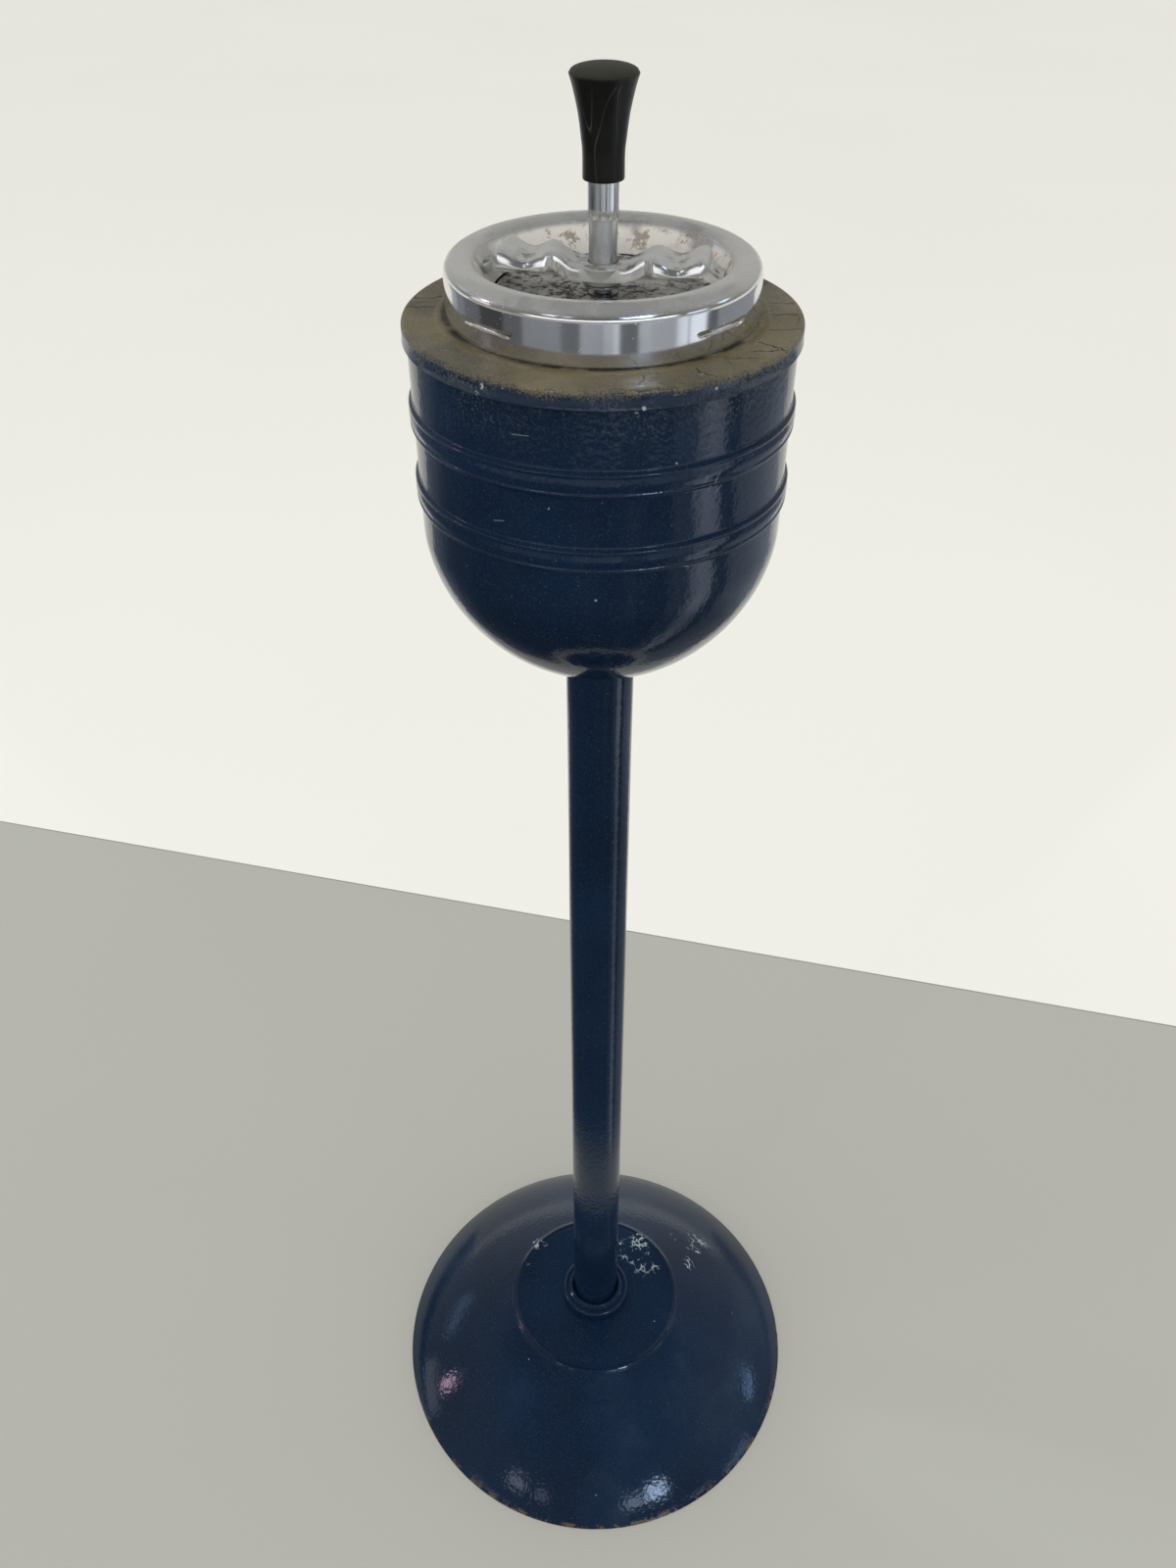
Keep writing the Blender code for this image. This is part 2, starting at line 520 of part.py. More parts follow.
def build_lid():
    """The annular lid: skirt over the cup, low step and the neck that holds the tray unit."""
    skirt_bore = CUP_TOP_RADIUS + GAP
    skirt = skirt_bore + LID_SHEET
    skirt_low = LID_TOP_Z - LID_SKIRT_HEIGHT
    corner = arc((skirt - LID_CORNER, LID_TOP_Z - LID_CORNER), (LID_CORNER, LID_CORNER), 0, 90, 3)
    under = LID_TOP_Z - LID_SHEET
    step_under = LID_STEP_Z - LID_SHEET
    neck_bore = NECK_RADIUS - LID_SHEET
    outline = [(skirt_bore, skirt_low), (skirt, skirt_low)] + corner
    outline += [(LID_STEP_RADIUS + LID_STEP_HEIGHT / 2, LID_TOP_Z), (LID_STEP_RADIUS, LID_STEP_Z),
                (NECK_RADIUS, LID_STEP_Z), (NECK_RADIUS, NECK_TOP_Z), (neck_bore, NECK_TOP_Z),
                (neck_bore, step_under), (LID_STEP_RADIUS, step_under),
                (LID_STEP_RADIUS + LID_STEP_HEIGHT / 2, under), (skirt_bore, under)]
    turned("cup_lid", outline, ROUND_STEPS, "bronze_lacquer", BRONZE_LACQUER)


# ======== tray ring and bridge ========

def dent_share(angle):
    """How deep the skirt is dented at an angle, from 0 to 1."""
    away = min(abs(math.remainder(angle - middle, math.tau)) for middle in DENT_ANGLES)
    return min(1.0, max(0.0, 2.0 - 2.0 * away / DENT_HALF_ANGLE))


def ring_section(angle):
    """The closed section of the ring at an angle, as (radius, height) points."""
    dent = DENT_DEPTH * dent_share(angle)
    middle = RING_FOOT_Z + DENT_HEIGHT
    side = [(RING_RADIUS, RING_FOOT_Z), (RING_RADIUS, middle - DENT_HALF_HEIGHT),
            (RING_RADIUS - dent, middle), (RING_RADIUS, middle + DENT_HALF_HEIGHT)]
    roll_width, roll_height = RING_OUTER_ROLL
    ridge_radius = RING_RADIUS - roll_width
    side += arc((ridge_radius, RING_TOP_Z - roll_height), (roll_width, roll_height), 0, 90, 4)
    side += arc((ridge_radius, RING_TOP_Z - RING_INNER_ROLL_HEIGHT),
                (ridge_radius - RING_MOUTH_RADIUS, RING_INNER_ROLL_HEIGHT), 90, 170, 3)[1:]
    side.append((FUNNEL_END_RADIUS, FUNNEL_END_Z))
    back = offset_line(side, -RING_SHEET)
    back[0] = (RING_RADIUS - RING_SHEET, RING_FOOT_Z)
    return side + back[::-1]


def build_ring():
    """The chromed ring: dented skirt, rolled top and funnel, slotted for the bridge's tongues."""
    rings = []
    for i in range(ROUND_STEPS):
        angle = math.tau * i / ROUND_STEPS
        rings.append([(r * math.cos(angle), r * math.sin(angle), z) for r, z in ring_section(angle)])
    ring = lofted("tray_ring", rings, True, "chrome", CHROME)
    reach = 2 * (BRIDGE_HALF_LENGTH + TONGUE_REACH + GAP)
    size = (reach, 2 * (TONGUE_HALF_WIDTH + GAP), TONGUE_THICKNESS + 2 * GAP)
    middle = HUB_TOP_Z - TONGUE_RISE + TONGUE_THICKNESS / 2
    slot = block("tongue_slot_cutter", size, (0, 0, middle), "chrome", CHROME, BRIDGE_TURN)
    combine(ring, slot, "DIFFERENCE")


def bridge_station(along):
    """One upright section of the bridge, at a signed distance from its middle."""
    place = abs(along)
    half = eased(BRIDGE_WIDTH_LINE, place)
    top = HUB_TOP_Z + eased(BRIDGE_TOP_LINE, place)
    under = HUB_TOP_Z + eased(BRIDGE_UNDER_LINE, place)
    edge = BRIDGE_EDGE
    corners = [(-half + edge, under), (half - edge, under), (half, under + edge / 2), (half, top - edge),
               (half - edge, top), (-half + edge, top), (-half, top - edge), (-half, under + edge / 2)]
    lean = BRIDGE_END_LEAN if place >= BRIDGE_HALF_LENGTH else 0.0
    turn = Matrix.Rotation(BRIDGE_TURN, 3, "Z")
    station = []
    for side, height in corners:
        out = along + math.copysign(lean * (height - under) / (top - under), along)
        station.append(tuple(turn @ Vector((out, side, height))))
    return station


def build_bridge():
    """The cast bar with four rests and a hub, held by a tongue at each end."""
    half_steps = 20
    places = [BRIDGE_HALF_LENGTH * i / half_steps for i in range(-half_steps, half_steps + 1)]
    bar = lofted("rest_bridge", [bridge_station(place) for place in places], False, "chrome", CHROME)
    boss_top = HUB_TOP_Z - BRIDGE_EDGE / 4
    boss_outline = [(0.0, HUB_FOOT_Z), (HUB_FOOT_RADIUS - BRIDGE_EDGE, HUB_FOOT_Z),
                    (HUB_FOOT_RADIUS, HUB_FOOT_Z + BRIDGE_EDGE), (HUB_TOP_RADIUS, boss_top - BRIDGE_EDGE),
                    (HUB_TOP_RADIUS - BRIDGE_EDGE, boss_top), (0.0, boss_top)]
    boss = turned("hub_boss_joined", boss_outline, SMALL_STEPS, "chrome", CHROME)
    combine(bar, boss, "UNION")
    size = (2 * (BRIDGE_HALF_LENGTH + TONGUE_REACH), 2 * TONGUE_HALF_WIDTH, TONGUE_THICKNESS)
    middle = HUB_TOP_Z - TONGUE_RISE + TONGUE_THICKNESS / 2
    tongue = block("tongues_joined", size, (0, 0, middle), "chrome", CHROME, BRIDGE_TURN)
    combine(bar, tongue, "UNION")
    bore = prism("hub_bore_cutter", GUIDE_RADIUS + GAP, HUB_FOOT_Z - HUB_DROP, HUB_TOP_Z + HUB_DROP,
                 SMALL_STEPS, "chrome", CHROME)
    combine(bar, bore, "DIFFERENCE")


# ======== guide tube, plunger and spring ========

def build_guide():
    """The fixed tube on the bridge, and the slotted nut that turns the spindle."""
    bore = GUIDE_RADIUS - GUIDE_WALL
    flange_top = GUIDE_FOOT_Z + GUIDE_FLANGE
    outline = [(bore, GUIDE_FOOT_Z), (GUIDE_FLANGE_RADIUS, GUIDE_FOOT_Z), (GUIDE_FLANGE_RADIUS, flange_top),
               (GUIDE_RADIUS, flange_top), (GUIDE_RADIUS, GUIDE_TOP_Z), (bore, GUIDE_TOP_Z)]
    turned("guide_tube", outline, SMALL_STEPS, "dull_chrome", DULL_CHROME)

    low, high = DRIVE_NUT_Z, DRIVE_NUT_Z + DRIVE_NUT_THICKNESS
    nut = prism("drive_nut", bore - GAP, low, high, SMALL_STEPS, "brass", BRASS)
    twist_in_nut = math.tau * DRIVE_NUT_THICKNESS / SPINDLE_PITCH
    slot_half = STRIP_HALF_THICKNESS + STRIP_HALF_WIDTH * math.sin(twist_in_nut / 2) + GAP
    size = (2 * (STRIP_HALF_WIDTH + GAP), 2 * slot_half, 3 * DRIVE_NUT_THICKNESS)
    slot = block("drive_slot_cutter", size, (0, 0, (low + high) / 2), "brass", BRASS,
                 twist_at((low + high) / 2))
    combine(nut, slot, "DIFFERENCE")


def build_knob():
    """The black knob, waisted and domed, with a blind bore for the sleeve."""
    side = [(radius, KNOB_FOOT_Z + height) for radius, height in KNOB_SIDE]
    rim_radius, rim_z = side[-1]
    top = KNOB_FOOT_Z + KNOB_HEIGHT
    dome = arc((0.0, rim_z + KNOB_RIM), (rim_radius - KNOB_RIM, top - rim_z - KNOB_RIM), 0, 90, 5)
    bore = SLEEVE_RADIUS + GAP
    outline = [(0.0, KNOB_BORE_TOP_Z), (bore, KNOB_BORE_TOP_Z), (bore, KNOB_FOOT_Z),
               (side[0][0] - KNOB_RIM, KNOB_FOOT_Z)] + side + dome[:-1] + [(0.0, top)]
    turned("push_knob", outline, 32, "black_plastic", BLACK_PLASTIC)


def build_plunger():
    """The sleeve, the brass insert that holds the spindle's head, and the spring's thrust washer."""
    sleeve_bore = SLEEVE_RADIUS - SLEEVE_WALL
    outline = [(sleeve_bore, SLEEVE_FOOT_Z), (SLEEVE_RADIUS, SLEEVE_FOOT_Z),
               (SLEEVE_RADIUS, SLEEVE_TOP_Z), (sleeve_bore, SLEEVE_TOP_Z)]
    turned("push_sleeve", outline, SMALL_STEPS, "chrome", CHROME)

    insert_radius = sleeve_bore - GAP
    shaft_bore = SPINDLE_SHAFT_RADIUS + GAP
    pocket = SPINDLE_HEAD_RADIUS + GAP
    pocket_z = INSERT_TOP_Z - INSERT_POCKET
    outline = [(shaft_bore, INSERT_FOOT_Z), (insert_radius, INSERT_FOOT_Z), (insert_radius, INSERT_TOP_Z),
               (pocket, INSERT_TOP_Z), (pocket, pocket_z), (shaft_bore, pocket_z)]
    turned("knob_insert", outline, SMALL_STEPS, "brass", BRASS)
    washer("thrust_washer", GUIDE_RADIUS - GAP, shaft_bore, THRUST_WASHER_Z, THRUST_WASHER_THICKNESS,
           SMALL_STEPS, "zinc_steel", ZINC_STEEL)


def build_spring():
    """The return spring: a round wire wound about the spindle, standing on the drive nut."""
    low = SPRING_FOOT_Z + SPRING_WIRE_RADIUS
    high = SPRING_TOP_Z - SPRING_WIRE_RADIUS
    steps_per_turn, sides = 10, 5
    count = SPRING_TURNS * steps_per_turn
    rings = []
    for i in range(count + 1):
        angle = math.tau * i / steps_per_turn
        height = low + (high - low) * i / count
        ring = []
        for k in range(sides):
            around = math.tau * k / sides
            radius = SPRING_RADIUS + SPRING_WIRE_RADIUS * math.cos(around)
            ring.append((radius * math.cos(angle), radius * math.sin(angle),
                         height + SPRING_WIRE_RADIUS * math.sin(around)))
        rings.append(ring)
    lofted("return_spring", rings, False, "zinc_steel", ZINC_STEEL)


# ======== spindle and tray disc ========

def twist_at(height):
    """Angle of the twisted strip at a height."""
    return math.tau * (height - FLANGE_TOP_Z) / SPINDLE_PITCH


def round_section(radius, height):
    """Twelve points of a circle."""
    angles = [math.tau * (i - 1) / 12 for i in range(12)]
    return [(radius * math.cos(a), radius * math.sin(a), height) for a in angles]


def strip_section(height):
    """Twelve points around the flat strip, turned by its twist at this height."""
    wide, thick, half = STRIP_HALF_WIDTH, STRIP_HALF_THICKNESS, STRIP_HALF_WIDTH / 2
    corners = [(wide, -thick), (wide, 0.0), (wide, thick), (half, thick), (0.0, thick), (-half, thick),
               (-wide, thick), (-wide, 0.0), (-wide, -thick), (-half, -thick), (0.0, -thick), (half, -thick)]
    turn = twist_at(height)
    return [(x * math.cos(turn) - y * math.sin(turn), x * math.sin(turn) + y * math.cos(turn), height)
            for x, y in corners]


def build_spindle():
    """The spindle: journal for the disc, flange, twisted strip, plain shaft and head."""
    sections = [round_section(JOURNAL_RADIUS, SPINDLE_FOOT_Z), round_section(JOURNAL_RADIUS, FLANGE_FOOT_Z),
                round_section(SPINDLE_FLANGE_RADIUS, FLANGE_FOOT_Z),
                round_section(SPINDLE_FLANGE_RADIUS, FLANGE_TOP_Z)]
    for i in range(STRIP_SECTIONS + 1):
        sections.append(strip_section(FLANGE_TOP_Z + (STRIP_TOP_Z - FLANGE_TOP_Z) * i / STRIP_SECTIONS))
    shaft_start = STRIP_TOP_Z + STRIP_HALF_THICKNESS
    end_twist = twist_at(STRIP_TOP_Z)
    upper = [round_section(SPINDLE_SHAFT_RADIUS, shaft_start),
             round_section(SPINDLE_SHAFT_RADIUS, HEAD_FOOT_Z),
             round_section(SPINDLE_HEAD_RADIUS, HEAD_FOOT_Z),
             round_section(SPINDLE_HEAD_RADIUS, HEAD_FOOT_Z + SPINDLE_HEAD_HEIGHT)]
    turn = Matrix.Rotation(end_twist, 3, "Z")
    for section in upper:
        sections.append([tuple(turn @ Vector(point)) for point in section])
    lofted("twist_spindle", sections, False, "zinc_steel", ZINC_STEEL)


def toothed(name, outline_at, finish_name, finish):
    """A ring whose section changes around it, as a face ratchet does."""
    steps = RATCHET_TEETH * 4
    rings = []
    for i in range(steps):
        angle = math.tau * i / steps
        ramp = (i % 4) / 3
        rings.append([(r * math.cos(angle), r * math.sin(angle), z) for r, z in outline_at(ramp)])
    return lofted(name, rings, True, finish_name, finish)


def build_ratchet():
    """The face ratchet on the spindle and the nut that holds it."""
    bore = JOURNAL_RADIUS + GAP

    def driver_outline(ramp):
        top = RATCHET_TOP_Z - RATCHET_TOOTH + ramp * RATCHET_TOOTH
        return [(bore, RATCHET_FOOT_Z), (RATCHET_RADIUS, RATCHET_FOOT_Z), (RATCHET_RADIUS, top), (bore, top)]

    toothed("ratchet_driver", driver_outline, "zinc_steel", ZINC_STEEL)
    nut_z = RATCHET_FOOT_Z - GAP - SPINDLE_NUT_HEIGHT
    hex_nut("spindle_nut", SPINDLE_NUT_ACROSS_FLATS, nut_z, SPINDLE_NUT_HEIGHT, bore,
            "zinc_steel", ZINC_STEEL)


def build_disc():
    """The dished tray disc and the hub that it is riveted to."""
    bore = DISC_SPIGOT_RADIUS + GAP
    low = DISC_HUB_TOP_Z + GAP
    edge = DISC_RADIUS
    top = [(bore, low + DISC_SHEET), (0.55 * edge, low + DISC_SHEET),
           (0.85 * edge, low + DISC_SHEET + 0.45 * DISC_DISH), (edge, low + DISC_SHEET + DISC_DISH)]
    under = [(r, z - DISC_SHEET) for r, z in top]
    turned("tray_disc", top + under[::-1], ROUND_STEPS, "tarred_steel", TARRED_STEEL)

    journal_bore = JOURNAL_RADIUS + GAP

    def hub_outline(ramp):
        foot = DISC_HUB_FOOT_Z + ramp * RATCHET_TOOTH
        return [(journal_bore, foot), (DISC_HUB_RADIUS, foot), (DISC_HUB_RADIUS, DISC_HUB_TOP_Z),
                (DISC_SPIGOT_RADIUS, DISC_HUB_TOP_Z), (DISC_SPIGOT_RADIUS, SPIGOT_TOP_Z),
                (journal_bore, SPIGOT_TOP_Z)]

    toothed("disc_hub", hub_outline, "dull_chrome", DULL_CHROME)


def main():
    """Build every piece in the order that it goes together."""
    clear_scene()
    build_foot()
    build_stem()
    build_tie_rod()
    build_cup()
    build_lid()
    build_ring()
    build_bridge()
    build_guide()
    build_knob()
    build_plunger()
    build_spring()
    build_spindle()
    build_ratchet()
    build_disc()


main()
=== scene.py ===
"""Looks of the free-standing push-and-spin ashtray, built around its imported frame.

Every sub-assembly is a class that models its own smooth pieces and dresses them, and every finish is a
small class that lays its procedural material. Units are metres, +Z is up and the front is -Y.
"""

import functools
import logging
import math
import operator
from dataclasses import dataclass, field
from enum import Enum
from typing import Any, Callable, Iterable, Sequence

import bpy
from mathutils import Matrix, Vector


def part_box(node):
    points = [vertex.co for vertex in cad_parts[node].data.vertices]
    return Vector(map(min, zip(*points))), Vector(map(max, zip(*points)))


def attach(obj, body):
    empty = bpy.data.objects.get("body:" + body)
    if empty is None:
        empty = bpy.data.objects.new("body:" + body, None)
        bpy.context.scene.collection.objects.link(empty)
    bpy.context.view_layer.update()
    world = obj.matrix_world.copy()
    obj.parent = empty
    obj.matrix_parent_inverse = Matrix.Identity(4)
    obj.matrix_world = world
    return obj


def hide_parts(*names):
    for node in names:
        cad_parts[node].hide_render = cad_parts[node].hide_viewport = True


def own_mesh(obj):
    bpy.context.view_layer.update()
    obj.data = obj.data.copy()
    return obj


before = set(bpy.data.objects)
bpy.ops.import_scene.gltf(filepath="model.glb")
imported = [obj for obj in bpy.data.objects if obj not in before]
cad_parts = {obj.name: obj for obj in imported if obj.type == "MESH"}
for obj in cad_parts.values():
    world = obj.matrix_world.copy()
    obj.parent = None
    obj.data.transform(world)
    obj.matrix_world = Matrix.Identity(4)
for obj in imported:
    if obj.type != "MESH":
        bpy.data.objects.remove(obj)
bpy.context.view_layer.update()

LOG = logging.getLogger("ashtray")
Line = list[tuple[float, float]]
Colour = tuple[float, float, float]
Spot = tuple[float, float, float, float]    # bearing in degrees, distance from the axis, height, reach
Stops = tuple[tuple[float, float], ...]     # places from 0 to 1 with their brightness

ROUND_STEPS = 180       # facets around the large turned pieces
SMALL_STEPS = 72        # facets around the pieces on the middle axis
CREASE = math.radians(40.0)
NAVY: Colour = (0.0050, 0.0155, 0.0400)


# ======== shader expressions ========

class Signal:
    """A value inside a shader that takes part in Python expressions."""

    def __init__(self, graph: "Graph", socket: bpy.types.NodeSocket) -> None:
        """Wrap an output socket of one graph."""
        self.graph = graph
        self.socket = socket

    def math(self, operation: str, first: Any, second: Any = 0.0) -> "Signal":
        """Return a Math node's result for two values."""
        return self.graph.node("ShaderNodeMath", {"operation": operation}, {0: first, 1: second})

    def __add__(self, other: Any) -> "Signal":
        """Add a value."""
        return self.math("ADD", self, other)

    def __radd__(self, other: Any) -> "Signal":
        """Add to a value."""
        return self.math("ADD", other, self)

    def __sub__(self, other: Any) -> "Signal":
        """Take a value away."""
        return self.math("SUBTRACT", self, other)

    def __rsub__(self, other: Any) -> "Signal":
        """Take away from a value."""
        return self.math("SUBTRACT", other, self)

    def __mul__(self, other: Any) -> "Signal":
        """Multiply by a value."""
        return self.math("MULTIPLY", self, other)

    def __rmul__(self, other: Any) -> "Signal":
        """Multiply a value."""
        return self.math("MULTIPLY", other, self)

    def __truediv__(self, other: Any) -> "Signal":
        """Divide by a value."""
        return self.math("DIVIDE", self, other)

    def __abs__(self) -> "Signal":
        """Drop the sign."""
        return self.math("ABSOLUTE", self)

    def __or__(self, other: Any) -> "Signal":
        """Join two masks."""
        return self.math("MAXIMUM", self, other)

    def rising(self, low: float, high: float) -> "Signal":
        """Return 0 below low and 1 above high, with a smooth passage."""
        return self.graph.node("ShaderNodeMapRange", {"interpolation_type": "SMOOTHSTEP"},
                               {"Value": self, "From Min": low, "From Max": high})

    def falling(self, low: float, high: float) -> "Signal":
        """Return 1 below low and 0 above high, with a smooth passage."""
        return 1.0 - self.rising(low, high)


class Graph:
    """A node tree with the place it is looked up at."""

    def __init__(self, tree: bpy.types.NodeTree, place: str = "Object") -> None:
        """Take a tree, and which coordinates to look up by."""
        self.tree = tree
        self.place = self.node("ShaderNodeTexCoord", {}, {}, place)
        self.x, self.y, self.z = (self.node("ShaderNodeSeparateXYZ", {}, {0: self.place}, axis)
                                  for axis in "XYZ")

    def node(self, kind: str, settings: dict[str, Any], inputs: dict[Any, Any], output: Any = 0) -> Signal:
        """Add any node.

        Args:
            kind: the node's type.
            settings: its properties; "stops" holds a ramp's (place, colour) pairs.
            inputs: values or signals for its sockets, by name or number.
            output: the socket to return, by name or number.

        Returns:
            The chosen output as a signal.
        """
        made = self.tree.nodes.new(kind)
        for key, value in settings.items():
            if key == "stops":
                ramp = made.color_ramp.elements
                while len(ramp) < len(value):
                    ramp.new(0.5)
                for element, (position, colour) in zip(ramp, value):
                    element.position = position
                    element.color = (*colour, 1.0)
            else:
                setattr(made, key, value)
        for key, value in inputs.items():
            socket = made.inputs[key]
            if isinstance(value, Signal):
                self.tree.links.new(value.socket, socket)
            elif isinstance(value, tuple) and len(value) == 3 and len(socket.default_value) == 4:
                socket.default_value = (*value, 1.0)
            else:
                socket.default_value = value
        return Signal(self, made.outputs[output])

    def noise(self, scale: float, detail: float = 2.0, roughness: float = 0.5,
              place: "Signal | None" = None) -> Signal:
        """Return soft noise from 0 to 1, with scale waves to the metre."""
        return self.node("ShaderNodeTexNoise", {"normalize": True},
                         {"Vector": place or self.place, "Scale": scale, "Detail": detail,
                          "Roughness": roughness})

    def cells(self, scale: float, feature: str, output: str = "Distance",
              place: "Signal | None" = None) -> Signal:
        """Return a Voronoi texture's distance or cell colour."""
        return self.node("ShaderNodeTexVoronoi", {"feature": feature},
                         {"Vector": place or self.place, "Scale": scale}, output)

    def stretched(self, stretch: Sequence[float], turn: Sequence[float] = (0.0, 0.0, 0.0)) -> Signal:
        """Return the place on the piece, stretched and turned."""
        return self.node("ShaderNodeMapping", {},
                         {"Vector": self.place, "Scale": tuple(stretch), "Rotation": tuple(turn)})

    def mix(self, mask: Any, below: Any, above: Any) -> Signal:
        """Mix two colours, below where the mask is 0 and above where it is 1."""
        return self.node("ShaderNodeMix", {"data_type": "RGBA"}, {0: mask, 6: below, 7: above}, 2)

    def radius(self) -> Signal:
        """Return the distance from the middle axis."""
        flat = self.node("ShaderNodeCombineXYZ", {}, {0: self.x, 1: self.y})
        return self.node("ShaderNodeVectorMath", {"operation": "LENGTH"}, {0: flat}, "Value")

    def angle(self) -> Signal:
        """Return the angle about the middle axis, from -pi to pi."""
        return self.y.math("ARCTAN2", self.y, self.x)

    def turn_share(self) -> Signal:
        """Return the bearing about the middle axis as a share of a turn, 0.5 at the back."""
        return (self.x.math("ARCTAN2", self.x, self.y) + math.pi) / math.tau

    def ramp(self, place: Signal, stops: Stops, tint: Colour) -> Signal:
        """Return the tinted brightness that the stops give at a place from 0 to 1."""
        coloured = [(position, tuple(part * bright for part in tint)) for position, bright in stops]
        return self.node("ShaderNodeValToRGB", {"stops": coloured}, {0: place})

    def moved_aside(self) -> Signal:
        """Return the place moved aside, for a second pattern that doesn't follow the first."""
        return self.node("ShaderNodeMapping", {}, {"Vector": self.place, "Location": (0.31, 0.17, 0.05)})

    def facing_up(self) -> Signal:
        """Return the upward part of the surface's direction."""
        normal = self.node("ShaderNodeNewGeometry", {}, {}, "Normal")
        return self.node("ShaderNodeSeparateXYZ", {}, {0: normal}, "Z")

    def specks(self, scale: float, size: float, share: float) -> Signal:
        """Return a mask of small dots.

        Args:
            scale: cells to the metre.
            size: radius of the largest dots as a share of a cell.
            share: the part of the cells that holds a dot.
        """
        picked = self.node("ShaderNodeSeparateXYZ", {}, {0: self.cells(scale, "F1", "Color")}, "X")
        return (self.cells(scale, "F1").falling(size * 0.5, size)
                * picked.rising(1.0 - share, 1.0 - share + 0.01))

    def hairlines(self, scale: float, width: float, place: "Signal | None" = None) -> Signal:
        """Return a mask of long thin wandering lines."""
        return abs(self.noise(scale, 0.0, place=place) - 0.5).falling(width * 0.4, width)

    @property
    def shader(self) -> bpy.types.Node:
        """The material's Principled shader."""
        return self.tree.nodes["Principled BSDF"]

    def bump(self, height: Signal, distance: float) -> None:
        """Shape the surface by a height, given in metres by distance."""
        inputs = {"Height": height, "Distance": distance, "Strength": 1.0}
        bump = self.node("ShaderNodeBump", {}, inputs, "Normal")
        self.tree.links.new(bump.socket, self.shader.inputs["Normal"])

    def lay(self, **sockets: Any) -> None:
        """Set or link the shader's sockets, named with underscores for spaces."""
        for key, value in sockets.items():
            socket = self.shader.inputs[key.replace("_", " ")]
            if isinstance(value, Signal):
                self.tree.links.new(value.socket, socket)
            elif isinstance(value, tuple):
                socket.default_value = (*value, 1.0)
            else:
                socket.default_value = value


def joined(masks: Iterable[Signal]) -> Signal:
    """Join any number of masks into one."""
    return functools.reduce(operator.or_, masks)


# ======== finishes ========

class Wear(Enum):
    """Where a painted piece shows its age."""

    PLAIN = "plain"
    FOOT = "foot"
    CUP = "cup"


@dataclass(frozen=True)
class Finish:
    """A named finish. A subclass lays its nodes."""

    name: str

    def dress(self, graph: Graph) -> None:
        """Lay the finish on a fresh graph."""
        raise NotImplementedError

    def material(self) -> bpy.types.Material:
        """Return the finish's material, made once."""
        made = bpy.data.materials.get(self.name)
        if made is None:
            made = bpy.data.materials.new(self.name)
            made.use_nodes = True
            self.dress(Graph(made.node_tree))
        return made


@dataclass(frozen=True)
class Scratch:
    """A short straight scratch on an upright wall: bearing and height of its middle, length, slant, width."""

    bearing: float      # degrees about the axis, 0 at +X
    height: float
    length: float
    slant: float        # degrees from level
    width: float = 0.00022


